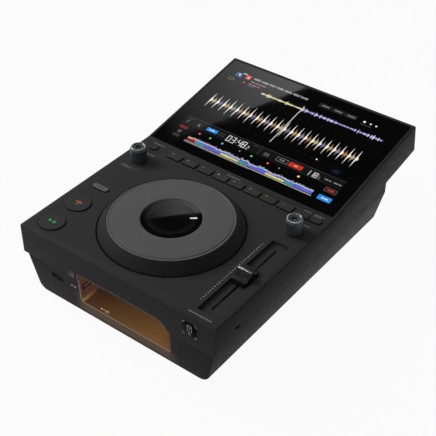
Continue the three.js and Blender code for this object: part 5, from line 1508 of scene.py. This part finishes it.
@dataclass
class Sockets(Assembly):
    """Front and rear sockets and the switch."""

    tongue: Place = (10.7, 12.4, 1.3)
    tongue_z: float = 37.5
    ring_radii: Pair = (1.9, 3.7)
    jack_end: float = 141.56
    jack_z: float = 25.0
    stop_at: Pair = (-56.5, 59.1)
    stop_size: Pair = (8.2, 1.5)
    stop_reach: Pair = (-181.74, -186.24)
    stop_scoop: float = 0.9
    front_heights: Place = (14, 30, 50)

    def build(self) -> list[Object]:
        """Dresses the sockets and adds their tongues, the jacks' rings and the stop key."""
        made_of = self.finishes
        # The USB socket shells are given black plastic so that their mouths read dark: painted shade.
        pieces = [refined(node, made_of.black, 0.08) for node in ("usb_port_front", "usb_port_recess")]
        pieces.append(refined("link_port", made_of.steel, 0.08))
        rear = ("power_inlet", "power_switch", "digital_jack", "audio_jacks")
        pieces += [refined(node, made_of.black, 0.12) for node in rear]
        rings = (
            ("left", 82.0, made_of.jack_tip), ("right", 66.0, made_of.jack_red), ("digital", 36.0, made_of.jack_orange),
        )
        pieces += [self.jack_ring(f"jack_ring_{side}", x, material) for side, x, material in rings]
        width, length, _ = self.tongue
        mouth, wall = box_of("usb_port_front")[0][1] + 0.2, box_of("usb_port_recess")[1][0] + 1.5
        front_middle = (-80.5, mouth + length / 2)
        recess_middle = (wall - length / 2, axis_of("usb_port_recess")[1])
        pieces.append(self.slab("usb_tongue_front", front_middle, (width, length), made_of.dark_tongue))
        pieces.append(self.slab("usb_tongue_recess", recess_middle, (length, width), made_of.tongue))
        return [*pieces, self.stop_key(), self.front_marks()]

    def slab(self, name: str, middle: Pair, size: Pair, material: Material) -> Object:
        """Makes a socket's tongue: a rounded outline stacked in four levels, drawn in at both ends.

        Args:
            name: The piece's name.
            middle: Its middle in x and y.
            size: Its size in x and y.
            material: Its finish.

        Returns:
            The tongue.
        """
        high = self.tongue[2] / 2
        levels = ((0.15, -high), (0.0, -high + 0.15), (0.0, high - 0.15), (0.15, high))
        rings = []
        for shrink, rise in levels:
            flat = rounded_outline(size[0] - 2 * shrink, size[1] - 2 * shrink, 0.4, 4)
            rings.append(np.column_stack([flat + np.array(middle), np.full(len(flat), self.tongue_z + rise)]))
        piece = new_piece(name, stacked(np.array(rings)), material, "case", 60)
        return piece

    def jack_ring(self, name: str, x: float, material: Material) -> Object:
        """Makes the coloured ring on a jack's end: a flat closed section turned round the jack's axis."""
        inner, outer = self.ring_radii
        back, front = self.jack_end - 0.35, self.jack_end + 0.25
        ease = 0.12
        section = np.array([
            (inner, back), (inner, front - ease), (inner + ease, front), (outer - ease, front),
            (outer, front - ease), (outer, back), (inner, back),
        ])
        surface = turned(section, (0.0, 0.0), 48)
        across, along, out = surface.points.T
        surface.points = np.stack([x + across, out, self.jack_z + along], -1)
        piece = new_piece(name, surface, material, "case", 60)
        return piece

    def stop_key(self) -> Object:
        """Makes the small square key: outlines stacked forwards, then drawn to the middle over a scooped face.

        The face sinks by the scoop's depth times one less the square of the distance from a
        place a little above its middle, so that its top lies in shade and its foot is lit.
        """
        width, radius = self.stop_size
        back, front = self.stop_reach
        rings = []
        for shrink, out in ((0.0, back), (0.0, front + 0.3), (0.12, front + 0.08), (0.3, front)):
            flat = rounded_outline(width - 2 * shrink, width - 2 * shrink, radius, 6)
            rings.append(np.column_stack([flat[:, 0], np.full(len(flat), out), flat[:, 1]]))
        rim = rounded_outline(width - 0.6, width - 0.6, radius, 6)
        for share in (0.92, 0.8, 0.64, 0.48, 0.32, 0.16, 0.04):
            flat = rim * share
            far = np.hypot(flat[:, 0], flat[:, 1] - 0.8 * (1 - share)) / (width / 2)
            sunk = front + self.stop_scoop * (1 - np.clip(far, 0, 1) ** 2)
            rings.append(np.column_stack([flat[:, 0], sunk, flat[:, 1]]))
        points = np.array(rings) + np.array([self.stop_at[0], 0.0, self.stop_at[1]])
        return dressed("stop_button", stacked(points), self.finishes.key_front, 50)

    def front_marks(self) -> Object:
        """Draws the plain marks under the stop key on the sloping front."""
        slope = np.array([0.0, self.front_y(40.8) - self.front_y(36.8), 4.0])
        art = Artwork((-57.8, self.front_y(38.8), 38.8), X_AXIS, slope / np.linalg.norm(slope), 0.1)
        art.bars(-2.4, 0.3, 2.6, 1.2, Ink.WHITE.value)
        art.chip(1.6, -0.2, 3.2, 2.2, Ink.WHITE.value, 0, 0.6, 0.4)
        return art.piece("front_marks", self.finishes.print_ink, "case", "case_plastic")

    def front_y(self, height: float) -> float:
        """Finds how far forward the lower case's front reaches at a height, among its own points.

        The front runs straight from its foremost point between the first two of the front's heights
        to its foremost point over the third.
        """
        vertices = frame["nodes"]["lower_case"].data.vertices
        flat = np.empty(len(vertices) * 3, np.float32)
        vertices.foreach_get("co", flat)
        points = flat.reshape(-1, 3).astype(float) / METRES
        near = points[np.abs(points[:, 0]) < 110]
        foot, knee, shoulder = self.front_heights
        above, below = near[near[:, 2] >= shoulder], near[(near[:, 2] > foot) & (near[:, 2] < knee)]
        top, low = above[np.argmin(above[:, 1])], below[np.argmin(below[:, 1])]
        share = (height - low[2]) / (top[2] - low[2])
        return float(low[1] + (top[1] - low[1]) * share)


@dataclass
class Inside(Assembly):
    """Boards behind the panels."""

    def build(self) -> list[Object]:
        """Dresses the boards."""
        nodes = ("key_board_left", "key_board_rear", "main_board", "power_board", "port_board")
        return [refined(node, self.finishes.board, 0.1) for node in nodes]


@dataclass
class Studio:
    """Pale bowl, lamps and the camera of the photograph."""

    azimuth: float = 36.995
    elevation: float = 38.759
    roll: float = 0.340
    target: Place = (28.6, -55.54, 88.6)
    distance: float = 1017.5
    focal: float = 82.203
    sensor: float = 36.0
    lit_at: Place = (0.0, -0.03, 0.09)
    ambient: float = 0.03
    paper_grey: float = 0.55
    paper_share: float = 0.95
    floor_radius: float = 3000.0
    wall_bend: float = 400.0
    wall_height: float = 1100.0

    def build(self) -> list[Object]:
        """Sets the world, the bowl, the lamps and the camera."""
        scene = bpy.context.scene
        scene.view_settings.view_transform = "Standard"
        world = bpy.data.worlds.new("studio")
        world.use_nodes = True
        background = world.node_tree.nodes["Background"].inputs
        background["Color"].default_value = (1, 1, 1, 1)
        background["Strength"].default_value = self.ambient
        scene.world = world
        self.lamp("key_rear_left", (-0.464, 0.559, 1.826), self.lit_at, (0.5, 0.5), 3.4)
        self.lamp("wide_left", (-1.4, -0.2, 1.2), self.lit_at, (0.8, 0.8), 8.4)
        self.lamp("front", (0.1, -1.3, 1.0), self.lit_at, (0.8, 0.6), 2.3)
        self.lamp("fill_rear_right", (0.8, 0.9, 0.9), self.lit_at, (0.6, 0.6), 0.5)
        card = self.lamp("card_behind", (-0.368, 0.398, 0.4475), (0.45, -0.177, 0.4475), (0.268, 0.235), 1.0)
        self.shade_across(card, 1.6, 0.0)
        return [self.bowl(), self.view()]

    def lamp(self, name: str, place: Place, aim: Place, size: Pair, radiance: float) -> Object:
        """Adds a rectangular lamp whose power is its radiance times pi times its area.

        Args:
            name: The lamp's name.
            place: Where it hangs, in metres.
            aim: What it points at, in metres.
            size: Its width and height in metres.
            radiance: How bright its face is.

        Returns:
            The lamp.
        """
        data = bpy.data.lights.new(name, "AREA")
        data.shape = "RECTANGLE"
        data.size, data.size_y = size
        data.energy = radiance * math.pi * size[0] * size[1]
        lamp = bpy.data.objects.new(name, data)
        lamp.location = place
        lamp.rotation_euler = (Vector(aim) - Vector(place)).to_track_quat("-Z", "Y").to_euler()
        bpy.context.scene.collection.objects.link(lamp)
        return lamp

    def shade_across(self, lamp: Object, first: float, last: float) -> None:
        """Lets a lamp's strength run from first to last across its width, as on a card lit from one end."""
        lamp.data.use_nodes = True
        nodes, links = lamp.data.node_tree.nodes, lamp.data.node_tree.links
        kinds = ("ShaderNodeNewGeometry", "ShaderNodeSeparateXYZ", "ShaderNodeMapRange")
        face, part, run = (nodes.new(kind) for kind in kinds)
        links.new(face.outputs["Parametric"], part.inputs[0])
        links.new(part.outputs["X"], run.inputs["Value"])
        run.inputs["To Min"].default_value, run.inputs["To Max"].default_value = first, last
        links.new(run.outputs["Result"], nodes["Emission"].inputs["Strength"])

    def bowl(self) -> Object:
        """Makes the floor and wall: a profile from the middle outwards that bends up, turned round z."""
        radius, bend, sides = self.floor_radius, self.wall_bend, 96
        angle = np.linspace(0, np.pi / 2, 9)
        curve = np.stack([radius - bend + bend * np.sin(angle), bend - bend * np.cos(angle)], -1)
        profile = np.concatenate([[(0.5, 0), (600, 0), (1500, 0)], curve, [(radius, self.wall_height)]])
        angle = np.arange(sides) * 2 * np.pi / sides
        points = np.stack([
            np.outer(profile[:, 0], np.cos(angle)), np.outer(profile[:, 0], np.sin(angle)),
            np.broadcast_to(profile[:, 1:], (len(profile), sides)),
        ], -1).reshape(-1, 3)
        mesh = bpy.data.meshes.new("floor")
        mesh.from_pydata((points * METRES).tolist(), [], grid_faces(len(profile), sides).tolist())
        shell = bmesh.new()
        shell.from_mesh(mesh)
        bmesh.ops.contextual_create(shell, geom=[v for v in shell.verts if v.co.xy.length < 0.001])
        bmesh.ops.recalc_face_normals(shell, faces=shell.faces)
        shell.faces.ensure_lookup_table()
        if shell.faces[0].normal.z < 0:
            bmesh.ops.reverse_faces(shell, faces=shell.faces)
        shell.to_mesh(mesh)
        shell.free()
        mesh.shade_smooth()
        mesh.materials.append(self.paper())
        floor = bpy.data.objects.new("floor", mesh)
        bpy.context.scene.collection.objects.link(floor)
        return floor

    def paper(self) -> Material:
        """Makes the pale paper: white to the camera and to gloss, soft grey to the light it passes on."""
        material = bpy.data.materials.new("pale_paper")
        material.use_nodes = True
        nodes, links = material.node_tree.nodes, material.node_tree.links
        nodes.clear()
        diffuse, glow = nodes.new("ShaderNodeBsdfDiffuse"), nodes.new("ShaderNodeEmission")
        diffuse.inputs["Color"].default_value = (*[self.paper_grey] * 3, 1)
        glow.inputs["Color"].default_value = (1, 1, 1, 1)
        rays = nodes.new("ShaderNodeLightPath")
        first, second, share = (nodes.new("ShaderNodeMath") for _ in range(3))
        first.operation = second.operation = "MAXIMUM"
        share.operation = "MULTIPLY"
        share.inputs[1].default_value = self.paper_share
        links.new(rays.outputs["Is Camera Ray"], first.inputs[0])
        links.new(rays.outputs["Is Glossy Ray"], first.inputs[1])
        links.new(first.outputs[0], second.inputs[0])
        links.new(rays.outputs["Is Transmission Ray"], second.inputs[1])
        links.new(second.outputs[0], share.inputs[0])
        mix, out = nodes.new("ShaderNodeMixShader"), nodes.new("ShaderNodeOutputMaterial")
        links.new(share.outputs[0], mix.inputs["Fac"])
        links.new(diffuse.outputs[0], mix.inputs[1])
        links.new(glow.outputs[0], mix.inputs[2])
        links.new(mix.outputs[0], out.inputs["Surface"])
        material.cycles.emission_sampling = "NONE"
        return material

    def view(self) -> Object:
        """Sets the camera by its azimuth, elevation, roll and distance from the target."""
        az, el, roll = (math.radians(a) for a in (self.azimuth, self.elevation, self.roll))
        right = Vector((math.cos(az), math.sin(az), 0))
        up = Vector((-math.sin(az) * math.sin(el), math.cos(az) * math.sin(el), math.cos(el)))
        back = Vector((math.sin(az) * math.cos(el), -math.cos(az) * math.cos(el), math.sin(el)))
        turned_right = math.cos(roll) * right + math.sin(roll) * up
        turned_up = math.cos(roll) * up - math.sin(roll) * right
        place = (Vector(self.target) + back * self.distance) * METRES
        data = bpy.data.cameras.new("photo_view")
        data.lens = self.focal
        data.sensor_width = self.sensor
        camera = bpy.data.objects.new("photo_view", data)
        columns = Matrix((turned_right, turned_up, back)).transposed().to_4x4()
        camera.matrix_world = Matrix.Translation(place) @ columns
        bpy.context.scene.collection.objects.link(camera)
        bpy.context.scene.camera = camera
        return camera


def main() -> None:
    """Builds the studio and every sub-assembly in order and reports each piece."""
    logging.basicConfig(level=logging.INFO, format="%(message)s")
    Studio().build()
    finishes = Finishes()
    for assembly in (Housing, Recess, JogWheel, KeySet, TempoFader, Knobs, TouchScreen, Sockets, Inside):
        for piece in assembly(finishes).build():
            LOG.info("%s: %s with %d faces", assembly.__name__, piece.name, len(piece.data.polygons))


if __name__ == "__main__":
    main()
